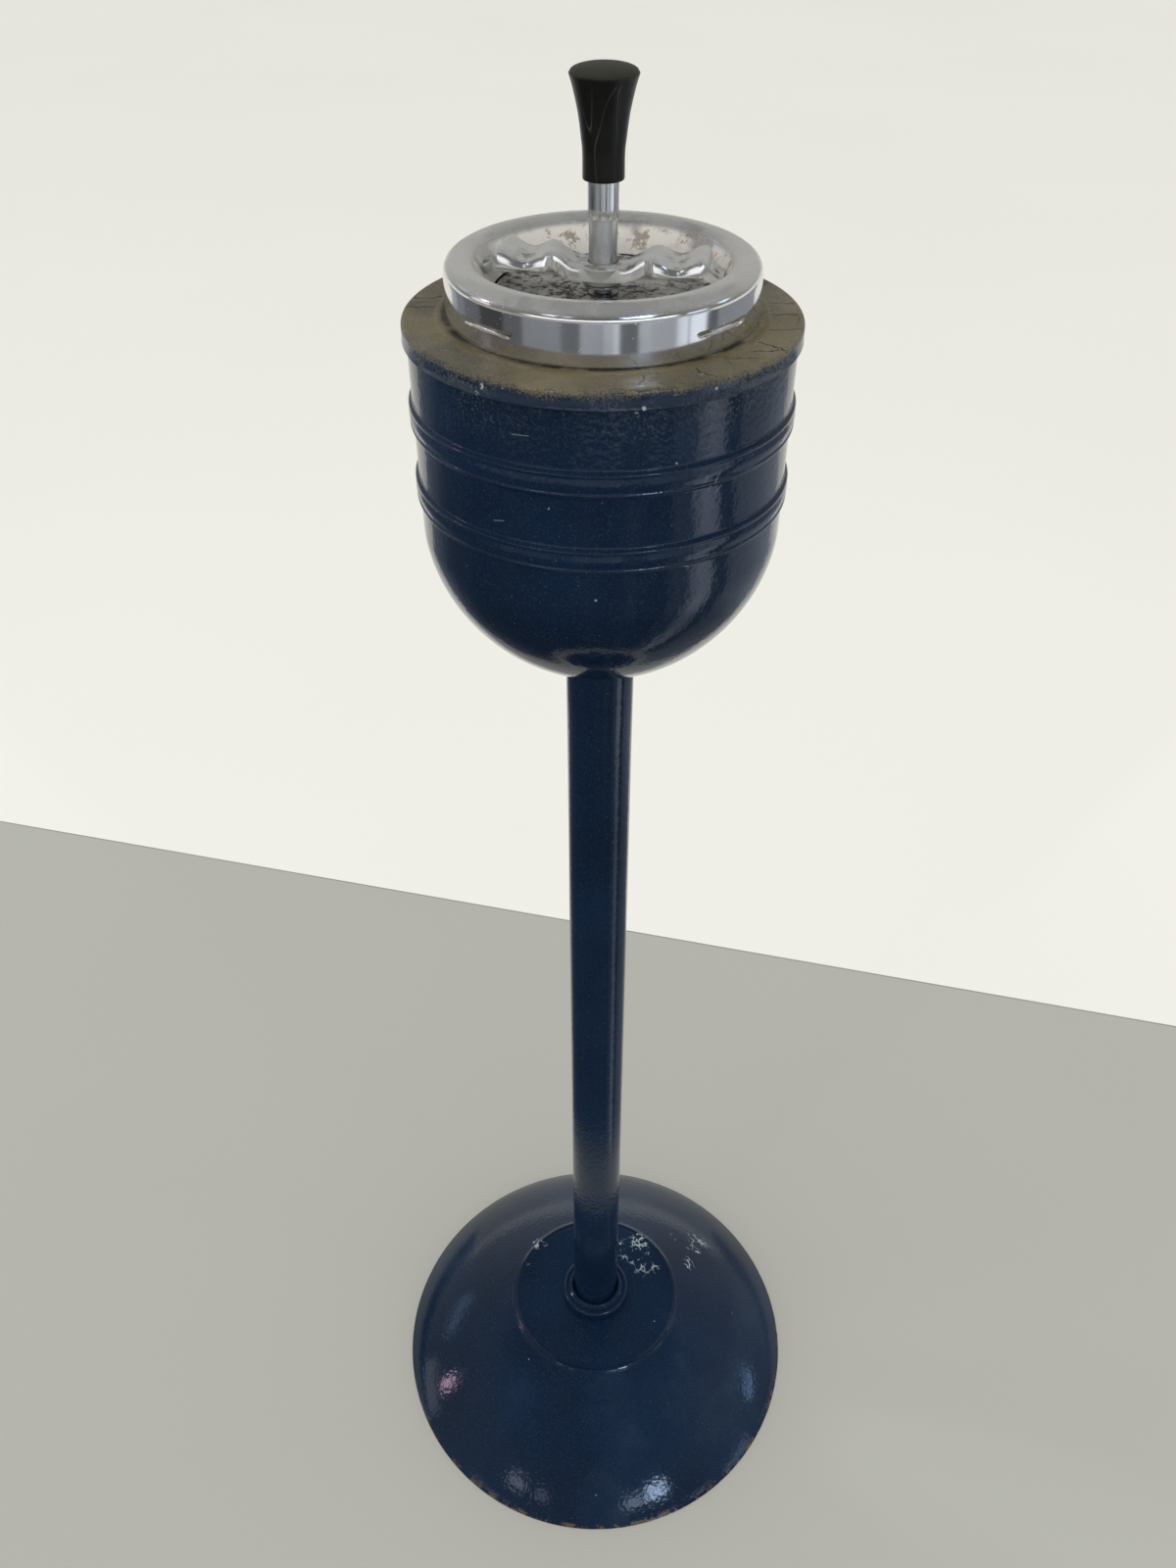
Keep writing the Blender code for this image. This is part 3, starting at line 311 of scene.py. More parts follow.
@dataclass(frozen=True)
class NavyEnamel(Finish):
    """Gloss navy enamel on sheet steel, lightly orange-peeled, with dust nibs and fine scratches."""

    colour: Colour = NAVY
    wear: Wear = Wear.PLAIN
    wall: float = 0.067
    scratches: tuple[Scratch, ...] = ()
    worn_patches: tuple[tuple[float, float, float], ...] = ()
    chips: tuple[Spot, ...] = ()
    overspray_low: float = 0.0
    overspray_high: float = 0.0

    def dress(self, graph: Graph) -> None:
        """Lay the enamel and its wear."""
        cloud = graph.noise(14.0, 3.0)
        peel = graph.noise(420.0, 1.0)
        fine = graph.noise(1300.0, 2.0)
        deep = tuple(0.75 * part for part in self.colour)
        pale = tuple(1.22 * part for part in self.colour)
        colour = graph.mix(cloud.rising(0.3, 0.7), deep, pale)
        colour = graph.mix(fine.rising(0.50, 0.70) * 0.40, colour, (0.022, 0.045, 0.080))
        nibs = graph.specks(260.0, 0.085, 0.30) | graph.specks(560.0, 0.12, 0.16)
        marks = nibs * 0.30
        if self.scratches:
            angle = graph.angle()
            marks = marks | joined(self.scratched(graph, angle, scratch) for scratch in self.scratches) * 0.55
        colour = graph.mix(marks, colour, (0.22, 0.26, 0.29))
        roughness = 0.065 + 0.06 * graph.noise(45.0, 3.0) + 0.30 * marks
        height = peel * 1.5 + fine * 0.16 + nibs * 0.4 + graph.noise(38.0, 2.0) * 2.4
        if self.wear is Wear.FOOT:
            colour, roughness = self.age_foot(graph, colour, roughness)
        if self.wear is Wear.CUP:
            colour, roughness = self.age_cup(graph, colour, roughness)
        graph.lay(Base_Color=colour, Roughness=roughness, IOR=1.45)
        graph.bump(height, 0.00006)

    def scratched(self, graph: Graph, angle: Signal, scratch: Scratch) -> Signal:
        """Return the mask of one straight scratch on the unrolled wall."""
        turn = math.radians(scratch.slant)
        level = (angle - math.radians(scratch.bearing)) * self.wall
        rise = graph.z - scratch.height
        along = level * math.cos(turn) + rise * math.sin(turn)
        off = rise * math.cos(turn) - level * math.sin(turn)
        line = abs(off).falling(scratch.width * 0.4, scratch.width)
        return line * abs(along).falling(scratch.length * 0.35, scratch.length * 0.5)

    def age_cup(self, graph: Graph, colour: Signal, roughness: Signal) -> tuple[Signal, Signal]:
        """Add a dusting of bronze below the cover, and a few pale chips."""
        dust = graph.noise(1000.0, 3.0, 0.75).rising(0.50, 0.66)
        reach = graph.z.rising(self.overspray_low, self.overspray_high)
        spray = dust * reach * graph.noise(42.0, 3.0).rising(0.36, 0.62) * 0.65
        colour = graph.mix(spray, colour, (0.105, 0.115, 0.100))
        chipped = spots(graph, self.chips) * graph.noise(600.0, 3.0, 0.6).rising(0.52, 0.58)
        return graph.mix(chipped * 0.7, colour, (0.40, 0.46, 0.46)), roughness + 0.30 * (spray | chipped)

    def age_foot(self, graph: Graph, colour: Signal, roughness: Signal) -> tuple[Signal, Signal]:
        """Add crazed pale patches, rubbed haze and rim chips."""
        wander = graph.noise(120.0, 3.0, 0.6)
        flat = graph.node("ShaderNodeCombineXYZ", {}, {0: graph.x, 1: graph.y})
        patches = []
        for centre_x, centre_y, reach in self.worn_patches:
            away = graph.node("ShaderNodeVectorMath", {"operation": "DISTANCE"},
                              {0: flat, 1: (centre_x, centre_y, 0.0)}, "Value")
            patches.append((away / reach + (wander - 0.5) * 1.6).falling(0.45, 0.95))
        crazing = graph.cells(150.0, "DISTANCE_TO_EDGE", place=self.warped(graph)).falling(0.018, 0.070)
        flakes = graph.noise(420.0, 3.0, 0.7).rising(0.66, 0.70)
        broken = graph.noise(48.0, 2.0, 0.5, graph.moved_aside()).rising(0.40, 0.50)
        pale = joined(patches) * (crazing * broken | flakes)
        colour = graph.mix(pale * 0.85, colour, (0.46, 0.55, 0.58))
        dots = graph.specks(75.0, 0.035, 0.30)
        colour = graph.mix(dots * 0.8, colour, (0.42, 0.45, 0.45))
        front = graph.node("ShaderNodeMath", {"operation": "SINE"}, {0: graph.angle() - 0.35})
        near_front = front.falling(-0.95, 0.35)
        chips = graph.z.falling(0.0010, 0.0028) * graph.noise(150.0, 4.0, 0.7).rising(0.50, 0.60)
        chips = chips * near_front
        colour = graph.mix(chips, colour, (0.105, 0.066, 0.034))
        haze = graph.noise(16.0, 4.0, 0.65).rising(0.52, 0.78)
        colour = graph.mix(haze * 0.07, colour, (0.10, 0.15, 0.19))
        return colour, roughness + 0.10 * haze + 0.35 * (pale | chips)

    def warped(self, graph: Graph) -> Signal:
        """Return the place pushed about a little, so that the crazing isn't regular."""
        push = graph.node("ShaderNodeTexNoise", {}, {"Vector": graph.place, "Scale": 160.0}, "Color")
        scaled = graph.node("ShaderNodeVectorMath", {"operation": "SCALE"}, {0: push, "Scale": 0.011})
        return graph.node("ShaderNodeVectorMath", {"operation": "ADD"}, {0: graph.place, 1: scaled})


def spots(graph: Graph, places: Sequence[Spot]) -> Signal:
    """Return a mask of round ragged spots.

    Args:
        graph: the finish's graph.
        places: where each spot is and how far it reaches.

    Returns:
        The joined mask.
    """
    wander = (graph.noise(300.0, 3.0, 0.6) - 0.5) * 1.5
    masks = []
    for bearing, out, height, reach in places:
        angle = math.radians(bearing)
        centre = (out * math.cos(angle), out * math.sin(angle), height)
        away = graph.node("ShaderNodeVectorMath", {"operation": "DISTANCE"}, {0: graph.place, 1: centre},
                          "Value")
        masks.append((away / reach + wander).falling(0.45, 0.95))
    return joined(masks)


@dataclass(frozen=True)
class Crack:
    """One hairline crack that runs across the cover: its bearing, its ends and how far it leans."""

    bearing: float      # degrees about the axis, 0 at +X
    inner: float
    outer: float
    lean: float = 0.0   # degrees it drifts from its inner to its outer end


@dataclass(frozen=True)
class BronzeLacquer(Finish):
    """Olive-bronze lacquer on the cover, cracked with age, dusting out into the navy of its skirt."""

    colour: Colour = (0.186, 0.158, 0.095)
    navy: Colour = NAVY
    chips: tuple[Spot, ...] = ()
    edge_low: float = 0.0
    edge_high: float = 0.0
    step_radius: float = 0.0565
    cracks: tuple[Crack, ...] = ()

    def dress(self, graph: Graph) -> None:
        """Lay the lacquer, its cracks and the fuzzy navy boundary."""
        cloud = graph.noise(22.0, 4.0, 0.6)
        fine = graph.noise(700.0, 2.0, 0.6)
        dark = tuple(0.74 * part for part in self.colour)
        light = tuple(1.22 * part for part in self.colour)
        colour = graph.mix(cloud.rising(0.3, 0.7), dark, light)
        colour = graph.mix(fine.rising(0.52, 0.75) * 0.30, colour, (0.19, 0.165, 0.105))
        radius, angle = graph.radius(), graph.angle()
        crack = self.crack_mask(graph, radius, angle)
        colour = graph.mix(crack, colour, (0.012, 0.011, 0.010))
        stain = abs(radius - self.step_radius).falling(0.0003, 0.0016)
        stain = stain * graph.noise(60.0, 3.0).rising(0.40, 0.62)
        colour = graph.mix(stain * 0.65, colour, (0.135, 0.092, 0.022))
        # painted shadow of the chrome ring on the cover, inside the step, broken up by noise
        ring_shadow = radius.falling(self.step_radius - 0.0020, self.step_radius - 0.0004)
        ring_shadow = ring_shadow * graph.noise(90.0, 4.0, 0.65).rising(0.38, 0.60)
        colour = graph.mix(ring_shadow * 0.85, colour, (0.026, 0.019, 0.010))
        nibs = graph.specks(330.0, 0.09, 0.16)
        colour = graph.mix(nibs * 0.6, colour, (0.04, 0.035, 0.02))
        height = (graph.z - self.edge_low) / (self.edge_high - self.edge_low)
        drift = (graph.noise(26.0, 2.0) - 0.5) * 1.1
        ragged = height + drift + (graph.noise(170.0, 3.0, 0.6) - 0.5) * 0.9
        ragged = ragged + (graph.noise(1500.0, 3.0) - 0.5) * 1.7
        bronze = ragged.rising(0.05, 1.05)
        dust = height.rising(-1.6, 0.1) * graph.noise(1100.0, 3.0, 0.75).rising(0.44, 0.62)
        dust = dust * graph.noise(34.0, 3.0, 0.6).rising(0.34, 0.58)
        base = graph.mix(dust * 0.75, self.navy, (0.090, 0.105, 0.098))
        chipped = spots(graph, self.chips) * graph.noise(600.0, 3.0, 0.6).rising(0.52, 0.58)
        chipped = chipped | (ragged.rising(0.2, 0.5) * ragged.falling(0.6, 1.1)
                             * graph.noise(260.0, 3.0, 0.6).rising(0.66, 0.70) * 0.6)
        edge = bronze * bronze.falling(0.55, 1.0)
        colour = graph.mix(edge * 0.6, colour, (0.085, 0.088, 0.066))
        colour = graph.mix(bronze, base, colour)
        colour = graph.mix(chipped * 0.8, colour, (0.40, 0.46, 0.46))
        roughness = 0.10 + bronze * (0.30 + 0.15 * graph.noise(60.0, 3.0)) + 0.25 * (chipped | dust)
        graph.lay(Base_Color=colour, Roughness=roughness, Metallic=bronze * 0.20)
        grain = graph.noise(420.0, 2.0) * 0.7 + fine * 0.4 + graph.noise(45.0, 2.0) * 1.5
        graph.bump(grain - crack * 2.5, 0.00006)

    def crack_mask(self, graph: Graph, radius: Signal, angle: Signal) -> Signal:
        """Return the mask of all the cracks."""
        jagged = (graph.noise(95.0, 3.0, 0.65) - 0.5) * 0.16
        swept = angle + jagged
        lines = []
        for crack in self.cracks:
            share = (radius - crack.inner) / (crack.outer - crack.inner)
            off = swept - math.radians(crack.bearing) - share * math.radians(crack.lean)
            line = (abs(off) * radius).falling(0.00014, 0.00038)
            lines.append(line * share.rising(-0.02, 0.03) * share.falling(0.93, 1.0))
        fine = graph.cells(62.0, "DISTANCE_TO_EDGE").falling(0.004, 0.012)
        return joined([*lines, fine * graph.noise(38.0, 2.0).rising(0.56, 0.60) * 0.7])


@dataclass(frozen=True)
class Chrome(Finish):
    """Plated steel with a dull dusty film on what faces up, dark pits, grime in the dips and, inside the
    mouth, pale cream that is partly a painted reflection, with brown stains.
    """

    colour: Colour = (0.80, 0.80, 0.79)
    roughness: float = 0.07
    film: float = 0.8
    film_colour: Colour = (0.42, 0.415, 0.395)
    film_from: float = 0.38
    film_full: float = 0.80
    grime: float = 0.0
    grime_below: float = 0.0
    pits: float = 0.12
    haze: float = 0.03
    core_haze: float = 0.0
    core_radius: float = 0.0105
    stain_and_reflection_radius: float = 0.0

    def dress(self, graph: Graph) -> None:
        """Lay the plating, the film, the pits and the grime."""
        cloud = graph.noise(70.0, 3.0, 0.6)
        up = graph.facing_up().rising(self.film_from, self.film_full)
        film = (up * (0.55 + 0.45 * cloud.rising(0.35, 0.65)) * self.film) | (self.haze * (0.6 + 0.8 * cloud))
        if self.core_haze:
            core = graph.radius().falling(self.core_radius - 0.001, self.core_radius + 0.001)
            film = film | core * self.core_haze
        pits = graph.specks(420.0, 0.13, self.pits) | graph.specks(900.0, 0.16, self.pits)
        colour = graph.mix(film, self.colour, self.film_colour)
        colour = graph.mix(pits * (0.25 + 0.75 * up), colour, (0.035, 0.030, 0.026))
        rough = self.roughness + 0.33 * film + 0.05 * graph.noise(160.0, 3.0) + 0.4 * pits
        metal = 1.0 - 0.75 * film - 0.6 * pits
        if self.stain_and_reflection_radius:
            # inside the mouth: pale cream, partly a deposit and partly a painted reflection of the cream
            # wall, then brown stains
            inside = graph.radius().falling(self.stain_and_reflection_radius - 0.0010, self.stain_and_reflection_radius + 0.0006)
            pale = inside * graph.noise(55.0, 3.0, 0.6).rising(0.34, 0.50)
            colour = graph.mix(pale * 0.85, colour, (0.78, 0.75, 0.69))
            brown = inside * graph.noise(150.0, 5.0, 0.7).rising(0.53, 0.62)
            colour = graph.mix(brown * 0.7, colour, (0.19, 0.125, 0.070))
            metal = metal - 0.55 * pale - 0.3 * brown
            rough = rough + 0.10 * pale + 0.2 * brown
        if self.grime:
            low = graph.z.falling(self.grime_below - 0.0012, self.grime_below + 0.0012)
            dirt = up * low * graph.noise(190.0, 4.0, 0.65).rising(0.42, 0.62) * self.grime
            colour = graph.mix(dirt, colour, (0.060, 0.042, 0.026))
            rough = rough + 0.35 * dirt
            metal = metal - 0.5 * dirt
        graph.lay(Base_Color=colour, Roughness=rough, Metallic=metal)
        wobble = graph.noise(55.0, 1.0) * 0.8 + graph.noise(900.0, 2.0) * 0.03
        graph.bump(wobble - pits * 0.1, 0.00012)


@dataclass(frozen=True)
class TarredSteel(Finish):
    """The tray disc: dull plated steel with ash, brown tar and rust."""

    colour: Colour = (0.60, 0.60, 0.58)
    hub_radius: float = 0.009
    edge_radius: float = 0.0368

    def dress(self, graph: Graph) -> None:
        """Lay the steel and its dirt."""
        radius = graph.radius()
        cloud = graph.noise(60.0, 4.0, 0.62)
        colour = graph.mix(cloud.rising(0.3, 0.7), tuple(0.55 * c for c in self.colour), self.colour)
        near = radius.falling(self.hub_radius, self.hub_radius + 0.014)
        edge = radius.rising(self.edge_radius - 0.0065, self.edge_radius - 0.0005)
        crowd = graph.noise(32.0, 2.0) * 0.30 + near * 0.06 + edge * 0.05
        tar = (graph.noise(420.0, 5.0, 0.75) + crowd).rising(0.735, 0.77)
        rust = (graph.noise(230.0, 5.0, 0.75, graph.moved_aside()) + crowd * 0.8).rising(0.675, 0.74)
        ash = graph.noise(520.0, 4.0, 0.7).rising(0.52, 0.70)
        colour = graph.mix(ash * 0.45, colour, (0.33, 0.29, 0.21))
        colour = graph.mix(rust * 0.85, colour, (0.085, 0.045, 0.024))
        colour = graph.mix(tar * 0.95, colour, (0.022, 0.017, 0.013))
        roughness = 0.26 + 0.22 * cloud + 0.25 * (rust | ash)
        metal = 0.45 - 0.4 * (tar | rust) - 0.05 * ash
        graph.lay(Base_Color=colour, Roughness=roughness, Metallic=metal)
        graph.bump(tar * 1.2 + rust * 0.5 + graph.noise(700.0, 3.0) * 0.4, 0.00010)


@dataclass(frozen=True)
class SatinPlastic(Finish):
    """Black moulded plastic, rubbed on top, with a painted olive highlight on its worn crown."""

    colour: Colour = (0.0055, 0.0055, 0.0044)
    crown_low: float = 0.0
    crown_high: float = 0.0

    def dress(self, graph: Graph) -> None:
        """Lay the plastic and its rubbed crown, lightened as a painted highlight."""
        cloud = graph.noise(90.0, 3.0, 0.6)
        colour = graph.mix(cloud.rising(0.3, 0.7), self.colour, tuple(1.5 * part for part in self.colour))
        # painted highlight: the top of the knob lightened to olive, partly rubbed wear
        crown = graph.z.rising(self.crown_low, self.crown_high)
        colour = graph.mix(crown * (0.5 + 0.5 * cloud), colour, (0.050, 0.050, 0.036))
        dust = graph.specks(700.0, 0.10, 0.14)
        lines = graph.hairlines(130.0, 0.006, graph.stretched((1.0, 1.0, 0.2)))
        marks = (dust * 0.4) | (lines * graph.noise(70.0).rising(0.5, 0.6) * 0.3)
        colour = graph.mix(marks, colour, (0.12, 0.12, 0.11))
        graph.lay(Base_Color=colour, Roughness=0.30 + 0.12 * cloud + 0.15 * crown, IOR=1.33)
        graph.bump(graph.noise(1300.0, 2.0) * 0.35 + graph.noise(160.0, 1.0), 0.00004)


@dataclass(frozen=True)
class RawMetal(Finish):
    """A hidden metal piece: zinc-plated steel, turned brass or a raw casting."""

    colour: Colour = (0.50, 0.50, 0.48)
    dark: Colour = (0.30, 0.30, 0.29)
    roughness: float = 0.34
    metallic: float = 1.0
    grain: float = 260.0
    depth: float = 0.00005

    def dress(self, graph: Graph) -> None:
        """Lay the metal with its bloom and stains."""
        bloom = graph.noise(self.grain, 4.0, 0.65)
        stain = graph.noise(self.grain * 0.25, 3.0).rising(0.5, 0.75)
        colour = graph.mix(bloom.rising(0.3, 0.7), self.dark, self.colour)
        colour = graph.mix(stain * 0.35, colour, tuple(0.5 * part for part in self.dark))
        graph.lay(Base_Color=colour, Roughness=self.roughness + 0.2 * bloom * stain + 0.08 * bloom,
                  Metallic=self.metallic)
        graph.bump(bloom, self.depth)


@dataclass(frozen=True)
class Beech(Finish):
    """Turned beech with fine grain."""

    colour: Colour = (0.50, 0.34, 0.19)

    def dress(self, graph: Graph) -> None:
        """Lay the grain lines and the short dark flecks."""
        along = graph.stretched((1.0, 1.0, 0.08))
        grain = graph.noise(900.0, 3.0, 0.6, along)
        rings = graph.noise(140.0, 1.0, 0.5, along)
        flecks = graph.noise(1600.0, 1.0, 0.5, along).rising(0.62, 0.68)
        colour = graph.mix(rings, tuple(0.72 * part for part in self.colour), self.colour)
        colour = graph.mix(grain.rising(0.4, 0.7) * 0.4, colour, (0.36, 0.22, 0.11))
        colour = graph.mix(flecks * 0.5, colour, (0.20, 0.11, 0.05))
        graph.lay(Base_Color=colour, Roughness=0.6 + 0.15 * grain)
        graph.bump(grain - flecks * 0.6, 0.00008)


@dataclass(frozen=True)
class Felt(Finish):
    """Pressed dark felt: matted fibres with lint."""

    colour: Colour = (0.050, 0.050, 0.050)

    def dress(self, graph: Graph) -> None:
        """Lay the fibres."""
        fibres = graph.noise(1900.0, 3.0, 0.7, graph.stretched((1.0, 0.3, 1.0), (0.0, 0.0, 0.6)))
        crossed = graph.noise(1900.0, 3.0, 0.7, graph.stretched((0.3, 1.0, 1.0), (0.0, 0.0, 0.3)))
        matted = (fibres + crossed) * 0.5
        colour = graph.mix(matted.rising(0.35, 0.65), tuple(0.45 * c for c in self.colour), self.colour)
        lint = graph.hairlines(210.0, 0.004) * graph.noise(50.0).rising(0.55, 0.6)
        colour = graph.mix(lint * 0.6, colour, (0.22, 0.21, 0.20))
        graph.lay(Base_Color=colour, Roughness=0.93 + 0.05 * matted, Sheen_Weight=0.35)
        graph.bump(matted, 0.0004)


@dataclass(frozen=True)
class StageFloor(Finish):
    """The matt grey floor and the cream sheet that starts behind a straight joint."""

    near: Colour = (0.455, 0.455, 0.420)
    far: Colour = (0.920, 0.908, 0.855)
    joint: tuple[float, float] = (0.392, -0.2418)   # where it crosses x = 0, and its slope

    def dress(self, graph: Graph) -> None:
        """Lay the two tones and a thin painted shadow line along their joint."""
        across = graph.y - self.joint[0] - graph.x * self.joint[1]
        cloud = graph.noise(1.7, 2.0)
        near = graph.mix(cloud, tuple(0.97 * c for c in self.near), tuple(1.03 * c for c in self.near))
        near = graph.mix(graph.specks(9.0, 0.02, 0.12) * 0.3, near, tuple(0.6 * c for c in self.near))
        far = graph.mix(graph.noise(1.1, 2.0), tuple(0.95 * c for c in self.far), self.far)
        colour = graph.mix(across.rising(-0.0006, 0.0006), near, far)
        # painted shadow line along the joint, where a floor would meet a wall
        seam_shadow = abs(across).falling(0.0004, 0.0011)
        colour = graph.mix(seam_shadow * 0.7, colour, (0.16, 0.16, 0.145))
        graph.lay(Base_Color=colour, Roughness=0.75)
        graph.bump(graph.noise(700.0, 2.0), 0.00003)


@dataclass(frozen=True)
class ReflectorCard(Finish):
    """A card that only mirrors see: dark cloth with pale strips towards the front, nothing behind."""

    far_stops: Stops
    near_stops: Stops
    tint: Colour = (0.92, 0.985, 1.10)
    shade: Colour = (0.020, 0.021, 0.023)
    clear_radius: float = 0.14
    border: float = 1.78
    back_gap: float = 0.115     # half the share of the turn, at the back, that stays empty

    def dress(self, graph: Graph) -> None:
        """Lay the strips by their bearing about the object, the near ones apart from the far ones."""
        share = graph.turn_share() + (graph.noise(5.0, 4.0, 0.6) - 0.5) * 0.010
        near = graph.ramp(share, self.near_stops, self.tint)
        far = graph.ramp(share, self.far_stops, self.tint)
        radius = graph.radius()
        near = graph.mix(radius.falling(0.50, 0.80) * 0.6, near, self.shade)
        glow = graph.mix(radius.rising(self.border, self.border + 0.08), near, far)
        light = graph.node("ShaderNodeEmission", {}, {"Color": glow})
        clear = graph.node("ShaderNodeBsdfTransparent", {}, {})
        shown = (radius.rising(self.clear_radius, self.clear_radius + 0.06)
                 * abs(share - 0.5).rising(self.back_gap, self.back_gap + 0.01))
        card = graph.node("ShaderNodeMixShader", {}, {0: shown, 1: clear, 2: light})
        output = graph.tree.nodes["Material Output"]
        graph.tree.links.new(card.socket, output.inputs["Surface"])


TURNED_BRASS = RawMetal("turned_brass", (0.60, 0.42, 0.16), (0.42, 0.27, 0.09), 0.28)
ZINC_PLATE = RawMetal("zinc_plate")


# ======== modelling ========

def clear_selection() -> None:
    """Leave object mode with nothing selected."""
    if bpy.context.object and bpy.context.object.mode != "OBJECT":
        bpy.ops.object.mode_set(mode="OBJECT")
    bpy.ops.object.select_all(action="DESELECT")


def face_outwards(close: bool = False) -> None:
    """Turn every face of the active piece outwards, after closing its open ends if asked."""
    bpy.ops.object.mode_set(mode="EDIT")
    bpy.ops.mesh.select_all(action="SELECT")
    if close:
        bpy.ops.mesh.fill_holes(sides=0)
    bpy.ops.mesh.normals_make_consistent(inside=False)
    bpy.ops.object.mode_set(mode="OBJECT")


def take_up(thing: bpy.types.Object) -> None:
    """Select one piece alone and make it the active one."""
    clear_selection()
    thing.select_set(True)
    bpy.context.view_layer.objects.active = thing


def arc(centre: tuple[float, float], radii: tuple[float, float], start: float, end: float,
        steps: int) -> Line:
    """Return points of an elliptical arc.

    Args:
        centre: (radius, height) of its middle.
        radii: half-width and half-height.
        start: first angle in degrees, from the outward direction.
        end: last angle in degrees.
        steps: number of parts.
    """
    angles = [math.radians(start + (end - start) * i / steps) for i in range(steps + 1)]
    return [(centre[0] + radii[0] * math.cos(a), centre[1] + radii[1] * math.sin(a)) for a in angles]


def flowing(points: Sequence[tuple[float, float]], steps: int) -> Line:
    """Return a smooth line through the given points, with steps parts between each two."""
    ends = [points[0], *points, points[-1]]
    line: Line = []
    for i in range(1, len(ends) - 2):
        before, here, there, after = ends[i - 1:i + 3]
        for k in range(steps):
            t = k / steps
            line.append(tuple(
                0.5 * (2 * b + (c - a) * t + (2 * a - 5 * b + 4 * c - d) * t * t
                       + (3 * b - a - 3 * c + d) * t ** 3)
                for a, b, c, d in zip(before, here, there, after)))
    line.append(tuple(points[-1]))
    return line


def eased(line: Sequence[tuple[float, float]], place: float) -> float:
    """Return a value read from (place, value) points, level at each of them."""
    for (near, low), (far, high) in zip(line, line[1:]):
        if place <= far:
            share = (place - near) / (far - near)
            return low + (high - low) * (1 - math.cos(math.pi * share)) / 2
    return line[-1][1]


def rounded(corners: Sequence[tuple[float, float]], fillet: float, steps: int = 4) -> Line:
    """Return an open line with every inner corner rounded by about the given radius."""
    line: Line = [tuple(corners[0])]
    for before, here, after in zip(corners, corners[1:], corners[2:]):
        into, out = Vector(before) - Vector(here), Vector(after) - Vector(here)
        reach = min(fillet, into.length * 0.45, out.length * 0.45)
        start, end = Vector(here) + into.normalized() * reach, Vector(here) + out.normalized() * reach
        for k in range(steps + 1):
            t = k / steps
            point = start * (1 - t) ** 2 + Vector(here) * 2 * t * (1 - t) + end * t * t
            line.append((point.x, point.y))
    line.append(tuple(corners[-1]))
    return line


def thickened(line: Line, sheet: float) -> Line:
    """Return a line moved sideways by the sheet, to the left of its direction."""
    moved: Line = []
    for i, (radius, height) in enumerate(line):
        before, after = line[max(i - 1, 0)], line[min(i + 1, len(line) - 1)]
        run, rise = after[0] - before[0], after[1] - before[1]
        length = math.hypot(run, rise) or 1.0
        moved.append((radius - sheet * rise / length, height + sheet * run / length))
    return moved


def select_where(thing: bpy.types.Object, test: Callable[[Vector], bool]) -> int:
    """Select the vertices whose place passes a test, in edit mode.

    Args:
        thing: the object being edited.
        test: says whether a place is wanted.

    Returns:
        How many were selected.
    """
    bpy.ops.object.mode_set(mode="OBJECT")
    mesh = thing.data
    chosen = [test(vertex.co) for vertex in mesh.vertices]
    mesh.vertices.foreach_set("select", chosen)
    mesh.edges.foreach_set("select", [chosen[e.vertices[0]] and chosen[e.vertices[1]] for e in mesh.edges])
    mesh.polygons.foreach_set("select", [all(chosen[v] for v in p.vertices) for p in mesh.polygons])
    bpy.ops.object.mode_set(mode="EDIT")
    bpy.ops.mesh.select_mode(type="VERT")
    return sum(chosen)


def turned(name: str, outline: Line, steps: int = ROUND_STEPS, closed: bool = True) -> bpy.types.Object:
    """Turn an outline about the middle axis, as on a lathe.

    Args:
        name: the piece's name.
        outline: (radius, height) points of the section.
        steps: facets around.
        closed: whether the outline returns to its first point.

    Returns:
        The piece, closed and smooth.
    """
    clear_selection()
    bpy.ops.mesh.primitive_plane_add(size=0.001, location=(0.0, 0.0, 0.0))
    thing = bpy.context.object
    thing.name = name
    bpy.ops.object.mode_set(mode="EDIT")
    bpy.ops.mesh.select_all(action="SELECT")
    bpy.ops.mesh.merge(type="CENTER")
    bpy.ops.mesh.select_mode(type="VERT")
    bpy.ops.mesh.select_all(action="SELECT")
    points = [Vector((radius, 0.0, height)) for radius, height in outline]
    if closed:
        points.append(points[0])
    bpy.ops.transform.translate(value=points[0])
    for here, there in zip(points, points[1:]):
        bpy.ops.mesh.extrude_region_move(TRANSFORM_OT_translate={"value": there - here})
    bpy.ops.mesh.select_all(action="SELECT")
    bpy.ops.mesh.spin(steps=steps, angle=math.tau, center=(0.0, 0.0, 0.0), axis=(0.0, 0.0, 1.0))
    bpy.ops.mesh.select_all(action="SELECT")
    bpy.ops.mesh.remove_doubles(threshold=0.000004)
    bpy.ops.mesh.normals_make_consistent(inside=False)
    bpy.ops.object.mode_set(mode="OBJECT")
    smooth(thing)
    return thing


def smooth(thing: bpy.types.Object) -> None:
    """Shade a piece smooth, but for its creases."""
    take_up(thing)
    bpy.ops.object.shade_smooth_by_angle(angle=CREASE)


def block(name: str, size: Sequence[float], centre: Sequence[float], turn: float = 0.0) -> bpy.types.Object:
    """Return a plain block used as a cutter or a start, with its place in its mesh."""
    clear_selection()
    bpy.ops.mesh.primitive_cube_add(size=1.0, location=tuple(centre), rotation=(0.0, 0.0, turn))
    thing = bpy.context.object
    thing.name = name
    thing.scale = tuple(size)
    bpy.ops.object.transform_apply(location=True, rotation=True, scale=True)
    return thing


